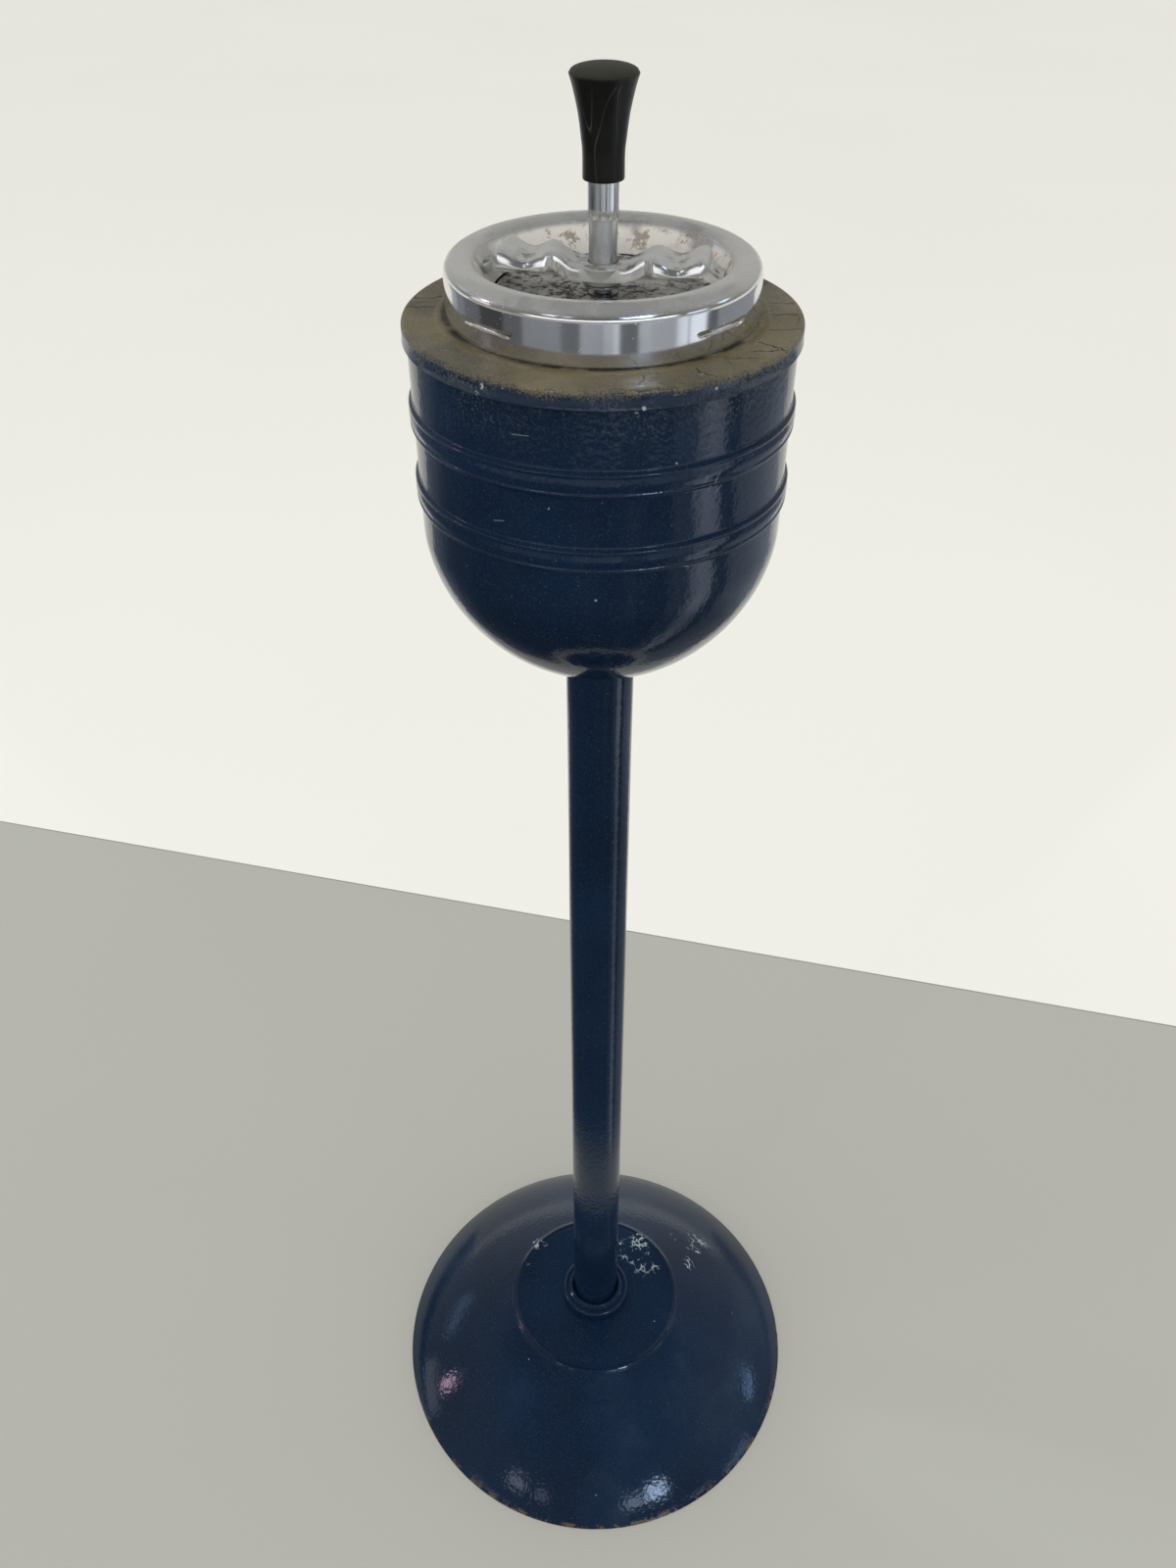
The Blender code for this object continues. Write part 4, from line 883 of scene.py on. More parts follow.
def combine(target: bpy.types.Object, tool: bpy.types.Object, operation: str) -> None:
    """Join a tool to a piece, or cut it away, and remove the tool."""
    take_up(target)
    change = target.modifiers.new("joint", "BOOLEAN")
    change.operation = operation
    change.solver = "EXACT"
    change.object = tool
    bpy.ops.object.modifier_apply(modifier=change.name)
    bpy.data.objects.remove(tool, do_unlink=True)


@dataclass(frozen=True)
class Room:
    """The room that a node of the frame takes up around the middle axis."""

    radius: float
    low: float
    high: float

    @classmethod
    def of(cls, node: str) -> "Room":
        """Measure a node."""
        low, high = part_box(node)
        return cls(max(high.x, high.y), low.z, high.z)


class Assembly:
    """What every sub-assembly shares: it hands its pieces to a body of the frame."""

    body: str = "stand"

    def place(self, piece: bpy.types.Object, node: str, slot: str, finish: Finish) -> bpy.types.Object:
        """Dress a piece, let it ride on the body and stand for its node."""
        piece.data.materials.clear()
        piece.data.materials.append(finish.material())
        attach(piece, self.body)
        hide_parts(node)
        LOG.info("%s stands for %s on %s with %d faces", piece.name, node, self.body,
                 len(piece.data.polygons))
        return piece

    def dress(self, nodes: Iterable[str], finish: Finish) -> None:
        """Give a finish to nodes that stay as they are."""
        for name in nodes:
            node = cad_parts[name]
            node.data.materials.clear()
            node.data.materials.append(finish.material())
            LOG.info("%s keeps its shape and takes %s", name, finish.name)


# ======== foot ========

@dataclass
class Foot(Assembly):
    """The dished foot with its bead, the collar, the felt under it and the iron inside."""

    sheet: float = 0.0012
    bead_radius: float = 0.053
    bead_half_width: float = 0.0014
    bead_proud: float = 0.0010
    crown_fall: float = 0.0032
    top_slope: float = math.radians(27.0)
    rim_slope: float = math.radians(50.0)
    top_pull: float = 0.41
    rim_pull: float = 0.34
    bore: float = 0.0044
    collar_bore: float = 0.0143
    felt_hole: float = 0.0200
    worn_patches: tuple[tuple[float, float, float], ...] = (
        (0.021, 0.030, 0.010), (0.033, 0.021, 0.011), (0.030, 0.036, 0.010), (0.072, 0.046, 0.010),
        (0.064, 0.026, 0.006), (0.055, 0.050, 0.006), (-0.039, 0.036, 0.006), (-0.047, 0.023, 0.005))

    def dome_line(self, room: Room, steps: int) -> Line:
        """Return the dome's outer line from the bead down to the rim."""
        span = room.radius - self.bead_radius
        start, end = (self.bead_radius, room.high - self.crown_fall), (room.radius, room.low)
        upper = (start[0] + self.top_pull * span * math.cos(self.top_slope),
                 start[1] - self.top_pull * span * math.sin(self.top_slope))
        lower = (end[0] - self.rim_pull * span * math.cos(self.rim_slope),
                 end[1] + self.rim_pull * span * math.sin(self.rim_slope))
        line: Line = []
        for i in range(steps + 1):
            t = i / steps
            weights = ((1 - t) ** 3, 3 * t * (1 - t) ** 2, 3 * t * t * (1 - t), t ** 3)
            line.append(tuple(sum(w * corner[axis] for w, corner in zip(weights, (start, upper, lower, end)))
                              for axis in (0, 1)))
        return line

    def build_dome(self) -> None:
        """Press the dome: crown, bead, flank and a softly broken rim."""
        room = Room.of("foot_shell")
        shoulder = room.high - self.crown_fall
        crown = flowing(((self.bore, room.high), (0.0214, room.high), (0.036, room.high - 0.0013),
                         (self.bead_radius - 1.5 * self.bead_half_width, shoulder + 0.0001)), 5)
        bead = flowing(((self.bead_radius - 1.4 * self.bead_half_width, shoulder + 0.00005),
                        (self.bead_radius - 0.8 * self.bead_half_width, shoulder + 0.35 * self.bead_proud),
                        (self.bead_radius - 0.1 * self.bead_half_width, shoulder + 0.95 * self.bead_proud),
                        (self.bead_radius + 0.6 * self.bead_half_width, shoulder + 0.2 * self.bead_proud),
                        (self.bead_radius + 1.3 * self.bead_half_width, shoulder - 0.0009)), 4)
        dome = [point for point in self.dome_line(room, 48) if point[0] > bead[-1][0] + 0.0008]
        inner = thickened(self.dome_line(room, 16), -self.sheet)
        rim = [(room.radius - 0.0001, room.low + 0.00035), (room.radius - 0.0004, room.low + 0.00005),
               (room.radius - 0.0010, room.low), (room.radius - 0.0014, room.low + 0.0002)]
        inner = [point for point in inner if point[1] > room.low + 0.0006]
        under = [(self.bore, room.high - self.sheet), (0.0214, room.high - self.sheet)]
        outline = crown + bead + dome[:-1] + rim + inner[::-1] + under[::-1]
        piece = turned("foot_dome", outline, 240)
        enamel = NavyEnamel("navy_enamel_foot", wear=Wear.FOOT, worn_patches=self.worn_patches)
        self.place(piece, "foot_shell", "blue_paint", enamel)

    def build_collar(self) -> None:
        """Turn the collar with its two round ridges."""
        room = Room.of("foot_collar")
        bore = self.collar_bore
        ridge = bore + 0.35 * (room.radius - bore)
        roll = (room.radius - ridge) / 2
        upper_roll = (ridge - bore) / 2
        tall = room.high - room.low
        shoulder = room.low + 0.55 * tall
        outline = rounded([(bore, room.low), (room.radius - 0.1 * roll, room.low),
                           (room.radius - 0.25 * roll, shoulder - roll)], 0.0006)
        outline += arc((room.radius - roll, shoulder), (roll, roll), -40, 125, 16)
        outline += arc(((bore + ridge) / 2, room.high - upper_roll), (upper_roll, upper_roll), -10, 180, 16)
        piece = turned("foot_collar_ridges", outline, 120)
        self.place(piece, "foot_collar", "blue_paint", NavyEnamel("navy_enamel_collar"))

    def build_felt(self) -> None:
        """Cut the felt pad as a plain round ring with soft edges."""
        room = Room.of("foot_pad")
        hole = self.felt_hole
        corners = [(hole + 0.002, room.low), (room.radius, room.low), (room.radius, room.high),
                   (hole, room.high), (hole, room.low), (hole + 0.002, room.low)]
        piece = turned("floor_felt", rounded(corners, 0.0011)[1:-1], 144)
        self.place(piece, "foot_pad", "felt", Felt("pressed_felt"))

    def build(self) -> None:
        """Build the foot."""
        self.build_dome()
        self.build_collar()
        self.build_felt()
        self.dress(["foot_weight"], RawMetal("raw_casting", (0.085, 0.085, 0.090), (0.045, 0.045, 0.048),
                                             roughness=0.62, metallic=0.7, grain=180.0, depth=0.0005))


# ======== stem ========

@dataclass
class Stem(Assembly):
    """The tube stem and the tie rod with its plugs, nuts and washers."""

    wall: float = 0.0015
    break_edge: float = 0.0004

    def build(self) -> None:
        """Draw the tube and dress what is inside it."""
        room = Room.of("stem_tube")
        bore = room.radius - self.wall
        corners = [(bore, (room.low + room.high) / 2), (bore, room.low), (room.radius, room.low)]
        corners += [(room.radius, room.low + (room.high - room.low) * i / 12) for i in range(1, 12)]
        corners += [(room.radius, room.high), (bore, room.high), (bore, (room.low + room.high) / 2)]
        piece = turned("stem_post", rounded(corners, self.break_edge, 2)[:-1], 96)
        self.place(piece, "stem_tube", "blue_paint", NavyEnamel("navy_enamel_stem"))
        self.dress(["stem_plug_lower", "stem_plug_upper"], Beech("turned_beech"))
        self.dress(["tie_rod", "lower_washer", "lower_nut", "upper_washer", "upper_nut"], ZINC_PLATE)


# ======== cup ========

@dataclass
class Cup(Assembly):
    """The deep-drawn cup with two raised bands, and its bronze cover."""

    sheet: float = 0.0012
    radius: float = 0.0671
    taper: float = 0.0005
    bore: float = 0.0044
    seat_radius: float = 0.0145
    bowl_depth: float = 0.0645
    bowl_power: float = 1.84
    wall_height: float = 0.0745
    band_heights: tuple[float, float] = (0.0168, 0.0443)
    band_half_height: float = 0.0047
    band_proud: float = 0.0014
    cover_corner: float = 0.0016
    step_radius: float = 0.0565
    step_height: float = 0.0006
    seam_proud: float = 0.00014
    neck_radius: float = 0.0515
    cracks: tuple[Crack, ...] = (
        Crack(176, 0.0575, 0.0690, 2), Crack(187, 0.0575, 0.0685, -3), Crack(199, 0.0590, 0.0688, 4),
        Crack(165, 0.0580, 0.0686, 5), Crack(152, 0.0580, 0.0680, -4), Crack(212, 0.0580, 0.0640, 6),
        Crack(-62, 0.0580, 0.0680, 3), Crack(-76, 0.0580, 0.0650, -5), Crack(-47, 0.0580, 0.0660, 7),
        Crack(-18, 0.0575, 0.0690, 3), Crack(-29, 0.0580, 0.0684, -4), Crack(-6, 0.0580, 0.0688, 4),
        Crack(9, 0.0580, 0.0686, -3), Crack(24, 0.0575, 0.0690, 5), Crack(-38, 0.0600, 0.0688, 6),
        Crack(60, 0.0580, 0.0680, 4), Crack(96, 0.0580, 0.0670, -4), Crack(128, 0.0580, 0.0685, 4))
    scratches: tuple[Scratch, ...] = (
        Scratch(-58, 0.6700, 0.0080, 62), Scratch(-56, 0.6665, 0.0040, 40),
        Scratch(-61, 0.6720, 0.0030, 75), Scratch(-113, 0.6880, 0.0070, 4),
        Scratch(-121, 0.6560, 0.0050, 12), Scratch(-66, 0.6410, 0.0050, -20),
        Scratch(20, 0.6700, 0.020, 20), Scratch(150, 0.6800, 0.016, -30), Scratch(80, 0.6500, 0.014, 60))
    wall_chips: tuple[Spot, ...] = (
        (-82, 0.0676, 0.6965, 0.0018), (-70, 0.0672, 0.6790, 0.0009), (-105, 0.0672, 0.6640, 0.0008),
        (-92, 0.0672, 0.6310, 0.0009), (40, 0.0674, 0.6900, 0.0020))
    cover_chips: tuple[Spot, ...] = (
        (-123, 0.0690, 0.7020, 0.0015), (-125, 0.0690, 0.6995, 0.0013), (-117, 0.0688, 0.7035, 0.0012),
        (-80, 0.0690, 0.6990, 0.0014), (-60, 0.0690, 0.7022, 0.0010), (35, 0.0690, 0.7030, 0.0020))

    def bowl_line(self, shrink: float, steps: int) -> Line:
        """Return the bowl's line from its seat to the wall, moved inwards by shrink."""
        radius, depth = self.radius - shrink, self.bowl_depth - shrink
        equator = Room.of("cup_shell").high - self.wall_height
        first = math.asin((self.seat_radius / radius) ** (self.bowl_power / 2))
        line: Line = []
        for i in range(steps + 1):
            angle = first + (math.pi / 2 - first) * i / steps
            out = radius * math.sin(angle) ** (2 / self.bowl_power)
            down = depth * max(math.cos(angle), 0.0) ** (2 / self.bowl_power)
            line.append((out, equator - down))
        return line

    def wall_radius(self, height: float) -> float:
        """Return the wall's outer radius at a height above the bowl."""
        return self.radius + self.taper * height / self.wall_height

    def band_line(self, middle: float, equator: float) -> Line:
        """Return the line over one raised band: a small bead at each edge of a shallow swell."""
        half, proud = self.band_half_height, self.band_proud
        shares = ((-1.18, 0.0), (-1.0, 0.10), (-0.90, 0.55), (-0.78, 0.88), (-0.66, 0.90), (-0.56, 0.74),
                  (-0.40, 0.80), (0.0, 1.0), (0.40, 0.80), (0.56, 0.74), (0.66, 0.90), (0.78, 0.88),
                  (0.90, 0.55), (1.0, 0.10), (1.18, 0.0))
        points = [(self.wall_radius(middle + share * half) + out * proud, equator + middle + share * half)
                  for share, out in shares]
        return flowing(points, 3)

    def build_cup(self) -> None:
        """Draw the cup."""
        room = Room.of("cup_shell")
        equator = room.high - self.wall_height
        outer = [(self.bore, room.low)] + self.bowl_line(0.0, 44)
        for middle in self.band_heights:
            outer += self.band_line(middle, equator)
        top = self.wall_radius(self.wall_height)
        outer += [(top, room.high - 0.0004), (top - 0.0004, room.high), (top - self.sheet, room.high)]
        floor = room.low + self.sheet
        inner = [(self.bore, floor)] + [(r, max(z, floor)) for r, z in self.bowl_line(self.sheet, 28)]
        piece = turned("cup_bowl", outer + inner[::-1], 240)
        enamel = NavyEnamel("navy_enamel_cup", wear=Wear.CUP, scratches=self.scratches, chips=self.wall_chips,
                            overspray_low=room.high - 0.024, overspray_high=room.high - 0.004)
        self.place(piece, "cup_shell", "blue_paint", enamel)

    def build_cover(self) -> None:
        """Turn the cover: rounded skirt, low step and the neck that the tray sits on."""
        room = Room.of("cup_lid")
        top = Room.of("cup_shell").high + 0.0015
        step = top + self.step_height
        bore = room.radius - self.sheet
        neck_bore = self.neck_radius - self.sheet
        corner = self.cover_corner
        outer = [(bore, room.low + 0.0003), (bore + 0.0003, room.low), (room.radius - 0.0003, room.low),
                 (room.radius, room.low + 0.0003), (room.radius, room.low + 0.0005),
                 (room.radius - self.seam_proud, room.low + 0.0008)]
        wall = room.radius - self.seam_proud
        outer += arc((wall - corner, top - corner), (corner, corner), 0, 90, 10)
        rest = rounded([(wall - corner - 0.001, top), (self.step_radius + 0.0012, top),
                        (self.step_radius, step), (self.neck_radius, step), (self.neck_radius, room.high),
                        (neck_bore, room.high), (neck_bore, step - self.sheet),
                        (self.step_radius - 0.0004, step - self.sheet),
                        (self.step_radius + 0.0006, top - self.sheet), (bore, top - self.sheet),
                        (bore, room.low + 0.0008)], 0.0005, 5)
        piece = turned("cup_cover", outer + rest, 240)
        lacquer = BronzeLacquer("bronze_lacquer_cover", edge_low=top - 0.0033, edge_high=top + 0.0003,
                                step_radius=self.step_radius, cracks=self.cracks, chips=self.cover_chips)
        self.place(piece, "cup_lid", "bronze_lacquer", lacquer)

    def build(self) -> None:
        """Build the cup and its cover."""
        self.build_cup()
        self.build_cover()


# ======== tray unit ========

@dataclass
class TrayUnit(Assembly):
    """The chromed ring, the bridge with its four rests and the guide tube."""

    body: str = field(default="tray_unit", init=False)
    sheet: float = 0.0010
    roll: tuple[float, float] = (0.0054, 0.0052)
    mouth_radius: float = 0.0432
    inner_roll: float = 0.0030
    funnel_end_radius: float = 0.0373
    funnel_end_height: float = 0.0070
    dent_bearings: tuple[float, ...] = (-135.0, -45.0, 45.0, 135.0)
    dent_height: float = 0.0068
    dent_depth: float = 0.0006
    dent_half_angle: float = 11.0
    bridge_turn: float = math.radians(-9.5)
    hub_below: float = 0.0027
    half_length: float = 0.0392
    end_lean: float = 0.0016
    draft: float = 0.055
    hub_top_radius: float = 0.0097
    hub_foot_radius: float = 0.0072
    hub_drop: float = 0.0068
    tongue_half_width: float = 0.0040
    tongue_thickness: float = 0.0010
    tongue_rise: float = 0.0042
    tongue_reach: float = 0.0048
    tongue_gap: float = 0.0003
    stations: int = 96
    corner_power: float = 10.0
    hub_bore: float = 0.0051
    guide_radius: float = 0.0048
    guide_wall: float = 0.0008
    wire_radius: float = 0.00035
    spring_turns: int = 10
    stroke: float = 0.0135
    top_line: Line = field(default_factory=lambda: [
        (0.0, 0.0), (0.008, 0.0), (0.0174, 0.0038), (0.0253, 0.0012), (0.0337, 0.0044), (0.0392, -0.0020)])
    under_line: Line = field(default_factory=lambda: [
        (0.0, -0.0052), (0.009, -0.0050), (0.0174, -0.0018), (0.0337, -0.0014), (0.0392, -0.0048)])
    width_line: Line = field(default_factory=lambda: [
        (0.0, 0.0080), (0.010, 0.0082), (0.0147, 0.0074), (0.0185, 0.0102), (0.0253, 0.0097),
        (0.0337, 0.0103), (0.0392, 0.0060)])

    def build_ring(self) -> None:
        """Spin the ring, press its four dents and cut the slots for the bridge's tongues."""
        room = Room.of("tray_ring")
        wide, tall = self.roll
        ridge = room.radius - wide
        side = [(room.radius, room.low)]
        side += [(room.radius, room.low + (room.high - room.low - tall) * i / 36) for i in range(1, 36)]
        side += arc((ridge, room.high - tall), (wide, tall), 0, 90, 16)
        side += arc((ridge, room.high - self.inner_roll), (ridge - self.mouth_radius, self.inner_roll),
                    90, 170, 12)[1:]
        funnel = (self.funnel_end_radius, room.low + self.funnel_end_height)
        start = side[-1]
        side += [(start[0] + (funnel[0] - start[0]) * t / 6 - 0.0004 * math.sin(math.pi * t / 6),
                  start[1] + (funnel[1] - start[1]) * t / 6) for t in range(1, 7)]
        back = thickened(side, self.sheet)
        back[0] = (room.radius - self.sheet, room.low)
        piece = turned("tray_rim", side + back[::-1], 240)
        self.press_dents(piece, room)
        middle = room.high - self.hub_below - self.tongue_rise + self.tongue_thickness / 2
        slot = (2 * (self.half_length + self.tongue_reach + self.tongue_gap),
                2 * (self.tongue_half_width + self.tongue_gap), self.tongue_thickness + 2 * self.tongue_gap)
        combine(piece, block("tongue_slot", slot, (0.0, 0.0, middle), self.bridge_turn), "DIFFERENCE")
        smooth(piece)
        plating = Chrome("chrome_ring", film=0.78, film_from=0.26, film_full=0.64, pits=0.16,
                         stain_and_reflection_radius=self.mouth_radius)
        self.place(piece, "tray_ring", "chrome", plating)

    def press_dents(self, piece: bpy.types.Object, room: Room) -> None:
        """Push the skirt in at each locking dent, in three ever smaller passes."""
        middle = room.low + self.dent_height
        bpy.ops.object.mode_set(mode="EDIT")
        for share in (1.0, 0.75, 0.5):
            def in_dent(place: Vector) -> bool:
                bearing = math.degrees(math.atan2(place.y, place.x))
                near = min(abs((bearing - dent + 180) % 360 - 180) for dent in self.dent_bearings)
                return (abs(place.z - middle) < 0.0006 * share + 0.0001
                        and near < self.dent_half_angle * share
                        and math.hypot(place.x, place.y) > room.radius - 0.003)
            if select_where(piece, in_dent):
                scale = 1 - self.dent_depth / 3 / room.radius
                bpy.ops.transform.resize(value=(scale, scale, 1.0), center_override=(0.0, 0.0, middle))
        bpy.ops.object.mode_set(mode="OBJECT")

    def build_bridge(self) -> None:
        """Cast the bar by extruding one section along it, then join the hub and the tongues."""
        room = Room.of("tray_ring")
        hub_top = room.high - self.hub_below
        clear_selection()
        bpy.ops.mesh.primitive_circle_add(vertices=28, radius=1.0, fill_type="NGON", location=(0.0, 0.0, 0.0))
        bar = bpy.context.object
        bar.name = "rest_bar"
        bpy.ops.object.mode_set(mode="EDIT")
        bpy.ops.mesh.select_all(action="SELECT")
        step = 2 * self.half_length / self.stations
        places = [-self.half_length + step * i for i in range(self.stations + 1)]
        bpy.ops.transform.translate(value=(0.0, 0.0, 1.0))
        for _ in places[1:]:
            bpy.ops.mesh.extrude_region_move(TRANSFORM_OT_translate={"value": (0.0, 0.0, 1.0)})
        bpy.ops.object.mode_set(mode="OBJECT")
        cosine, sine = math.cos(self.bridge_turn), math.sin(self.bridge_turn)
        for vertex in bar.data.vertices:
            along = places[min(max(round(vertex.co.z) - 1, 0), self.stations)]
            place = abs(along)
            half = eased(self.width_line, place)
            top, under = eased(self.top_line, place), eased(self.under_line, place)
            across, up = self.softened(vertex.co.x, vertex.co.y)
            side = across * half * (1.0 - self.draft * up)
            height = (top + under) / 2 + up * (top - under) / 2
            closing = max(0.0, (place - self.half_length + 0.0012) / 0.0012)
            side *= 1 - 0.10 * closing ** 2
            out = along + math.copysign(self.end_lean * closing * (height - under) / (top - under), along)
            vertex.co = (out * cosine - side * sine, out * sine + side * cosine, hub_top + height)
        face_outwards()
        boss_top = hub_top - 0.0001
        foot = hub_top - self.hub_drop
        cone = rounded([(0.0, foot), (self.hub_foot_radius, foot), (self.hub_top_radius, boss_top),
                        (0.0, boss_top)], 0.0010, 5)
        combine(bar, turned("hub_boss", cone, SMALL_STEPS, closed=False), "UNION")
        middle = hub_top - self.tongue_rise + self.tongue_thickness / 2
        tongue = (2 * (self.half_length + self.tongue_reach), 2 * self.tongue_half_width,
                  self.tongue_thickness)
        combine(bar, block("tongues", tongue, (0.0, 0.0, middle), self.bridge_turn), "UNION")
        start, end = foot - 0.003, hub_top + 0.003
        drill = [(0.0, start), (self.hub_bore, start), (self.hub_bore, end), (0.0, end)]
        bore = turned("hub_bore", drill, 48, closed=False)
        combine(bar, bore, "DIFFERENCE")
        smooth(bar)
        finish = Chrome("chrome_bridge", film=0.85, film_colour=(0.44, 0.45, 0.44), grime=0.85,
                        grime_below=hub_top + 0.0020, pits=0.14, haze=0.12, core_haze=0.62)
        self.place(bar, "rest_bridge", "chrome", finish)

    def softened(self, x: float, y: float) -> tuple[float, float]:
        """Turn a point of the unit circle into one of a soft-cornered square."""
        size = (abs(x) ** self.corner_power + abs(y) ** self.corner_power) ** (1 / self.corner_power)
        return x / size, y / size

    def build_guide(self) -> None:
        """Draw the guide tube with its foot flange."""
        room = Room.of("guide_tube")
        radius, bore = self.guide_radius, self.guide_radius - self.guide_wall
        corners = [(bore, room.low + 0.002), (bore, room.low), (room.radius, room.low),
                   (room.radius, room.low + 0.0007), (radius, room.low + 0.0007), (radius, room.high),
                   (bore, room.high), (bore, room.low + 0.002)]
        piece = turned("guide_post", rounded(corners, 0.0002, 3)[:-1], SMALL_STEPS)
        self.place(piece, "guide_tube", "dull_chrome",
                   Chrome("dull_chrome_tube", colour=(0.52, 0.53, 0.54), roughness=0.22, film=0.4, pits=0.3))

    def build_spring(self) -> None:
        """Wind the return spring, which shortens as the knob goes down."""
        room = Room.of("return_spring")
        wire = self.wire_radius
        low, high = room.low + wire, room.high - wire
        clear_selection()
        bpy.ops.mesh.primitive_circle_add(vertices=8, radius=wire, location=(room.radius - wire, 0.0, low),
                                          rotation=(math.pi / 2, 0.0, 0.0))
        piece = bpy.context.object
        piece.name = "return_coil"
        bpy.ops.object.transform_apply(location=True, rotation=True, scale=True)
        winding = piece.modifiers.new("winding", "SCREW")
        winding.axis = "Z"
        winding.iterations = self.spring_turns
        winding.screw_offset = (high - low) / self.spring_turns
        winding.steps = winding.render_steps = 24
        winding.merge_threshold = 0.00001
        bpy.ops.object.modifier_apply(modifier=winding.name)
        face_outwards(close=True)
        smooth(piece)
        self.place(piece, "return_spring", "zinc_steel",
                   RawMetal("spring_steel", (0.42, 0.42, 0.42), (0.24, 0.24, 0.24), 0.3))
        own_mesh(piece)

    def build(self) -> None:
        """Build the tray unit."""
        self.build_ring()
        self.build_bridge()
        self.build_guide()
        self.build_spring()
        self.dress(["drive_nut"], TURNED_BRASS)


# ======== plunger ========

@dataclass
class Plunger(Assembly):
    """The black knob and the sleeve that slides on the guide tube."""

    body: str = field(default="plunger", init=False)
    side: tuple[tuple[float, float], ...] = (
        (0.00685, 0.0004), (0.00685, 0.0077), (0.0073, 0.0123), (0.0082, 0.0190), (0.0097, 0.0257),
        (0.01105, 0.0302))
    rim: float = 0.0006
    bore_depth: float = 0.0257
    wall: float = 0.0003

    def build_knob(self) -> None:
        """Turn the waisted knob with its domed crown."""
        room = Room.of("push_knob")
        side = flowing([(radius, room.low + height) for radius, height in self.side], 7)
        wide, edge = side[-1]
        crown = arc((wide - self.rim, edge), (self.rim, self.rim), 0, 62, 6)[1:]
        start = crown[-1]
        dome = [(start[0] * math.cos(turn), start[1] + (room.high - start[1]) * math.sin(turn))
                for turn in map(math.radians, (12, 24, 36, 48, 60, 72, 82))]
        bore = Room.of("push_sleeve").radius + 0.0003
        top = room.low + self.bore_depth
        outline = [(0.0, top), (bore, top), (bore, room.low + 0.0002), (bore + 0.0002, room.low),
                   (side[0][0] - 0.0005, room.low), (side[0][0] - 0.00012, room.low + 0.00014)]
        outline += side + crown + dome + [(0.0, room.high)]
        piece = turned("press_knob", outline, 96, closed=False)
        plastic = SatinPlastic("satin_black_plastic", crown_low=edge - 0.0008, crown_high=edge + 0.0012)
        self.place(piece, "push_knob", "black_plastic", plastic)

    def build_sleeve(self) -> None:
        """Draw the thin bright sleeve."""
        room = Room.of("push_sleeve")
        bore = room.radius - self.wall
        corners = [(bore, room.low + 0.003), (bore, room.low), (room.radius, room.low),
                   (room.radius, room.low + 0.004), (room.radius, room.high), (bore, room.high),
                   (bore, room.low + 0.003)]
        piece = turned("press_sleeve", rounded(corners, 0.00012, 3)[:-1], SMALL_STEPS)
        self.place(piece, "push_sleeve", "chrome",
                   Chrome("bright_sleeve", roughness=0.09, film=0.3, pits=0.06))

    def build(self) -> None:
        """Build the plunger."""
        self.build_knob()
        self.build_sleeve()
        self.dress(["knob_insert"], TURNED_BRASS)
        self.dress(["thrust_washer"], ZINC_PLATE)


# ======== spindle and disc ========

@dataclass
class Spindle(Assembly):
    """The twisted spindle with its ratchet and nut, which keep their shapes."""

    body: str = field(default="spindle", init=False)

    def build(self) -> None:
        """Dress the spindle."""
        self.dress(["twist_spindle", "ratchet_driver", "spindle_nut"], ZINC_PLATE)


@dataclass
class Disc(Assembly):
    """The dished tray disc on its hub."""

    body: str = field(default="disc", init=False)
    sheet: float = 0.0009
    bore: float = 0.0053

    def build(self) -> None:
        """Spin the disc and dress its hub."""
        room = Room.of("tray_disc")
        dish = room.high - room.low - self.sheet
        edge = room.radius
        top = flowing([(self.bore, room.low + self.sheet), (0.40 * edge, room.low + self.sheet),
                       (0.62 * edge, room.low + self.sheet + 0.05 * dish),
                       (0.85 * edge, room.low + self.sheet + 0.48 * dish),
                       (edge - 0.0002, room.high)], 8)
        under = [(r, z - self.sheet) for r, z in top]
        under[-1] = (edge - 0.0001, room.high - self.sheet)
        piece = turned("drop_disc", top + [(edge, room.high - self.sheet / 2)] + under[::-1], 200)
        self.place(piece, "tray_disc", "tarred_steel", TarredSteel("tarred_steel_disc", edge_radius=edge))
        self.dress(["disc_hub"], RawMetal("dull_plate", (0.42, 0.43, 0.45), (0.22, 0.22, 0.23), 0.3))


# ======== stage, light and camera ========

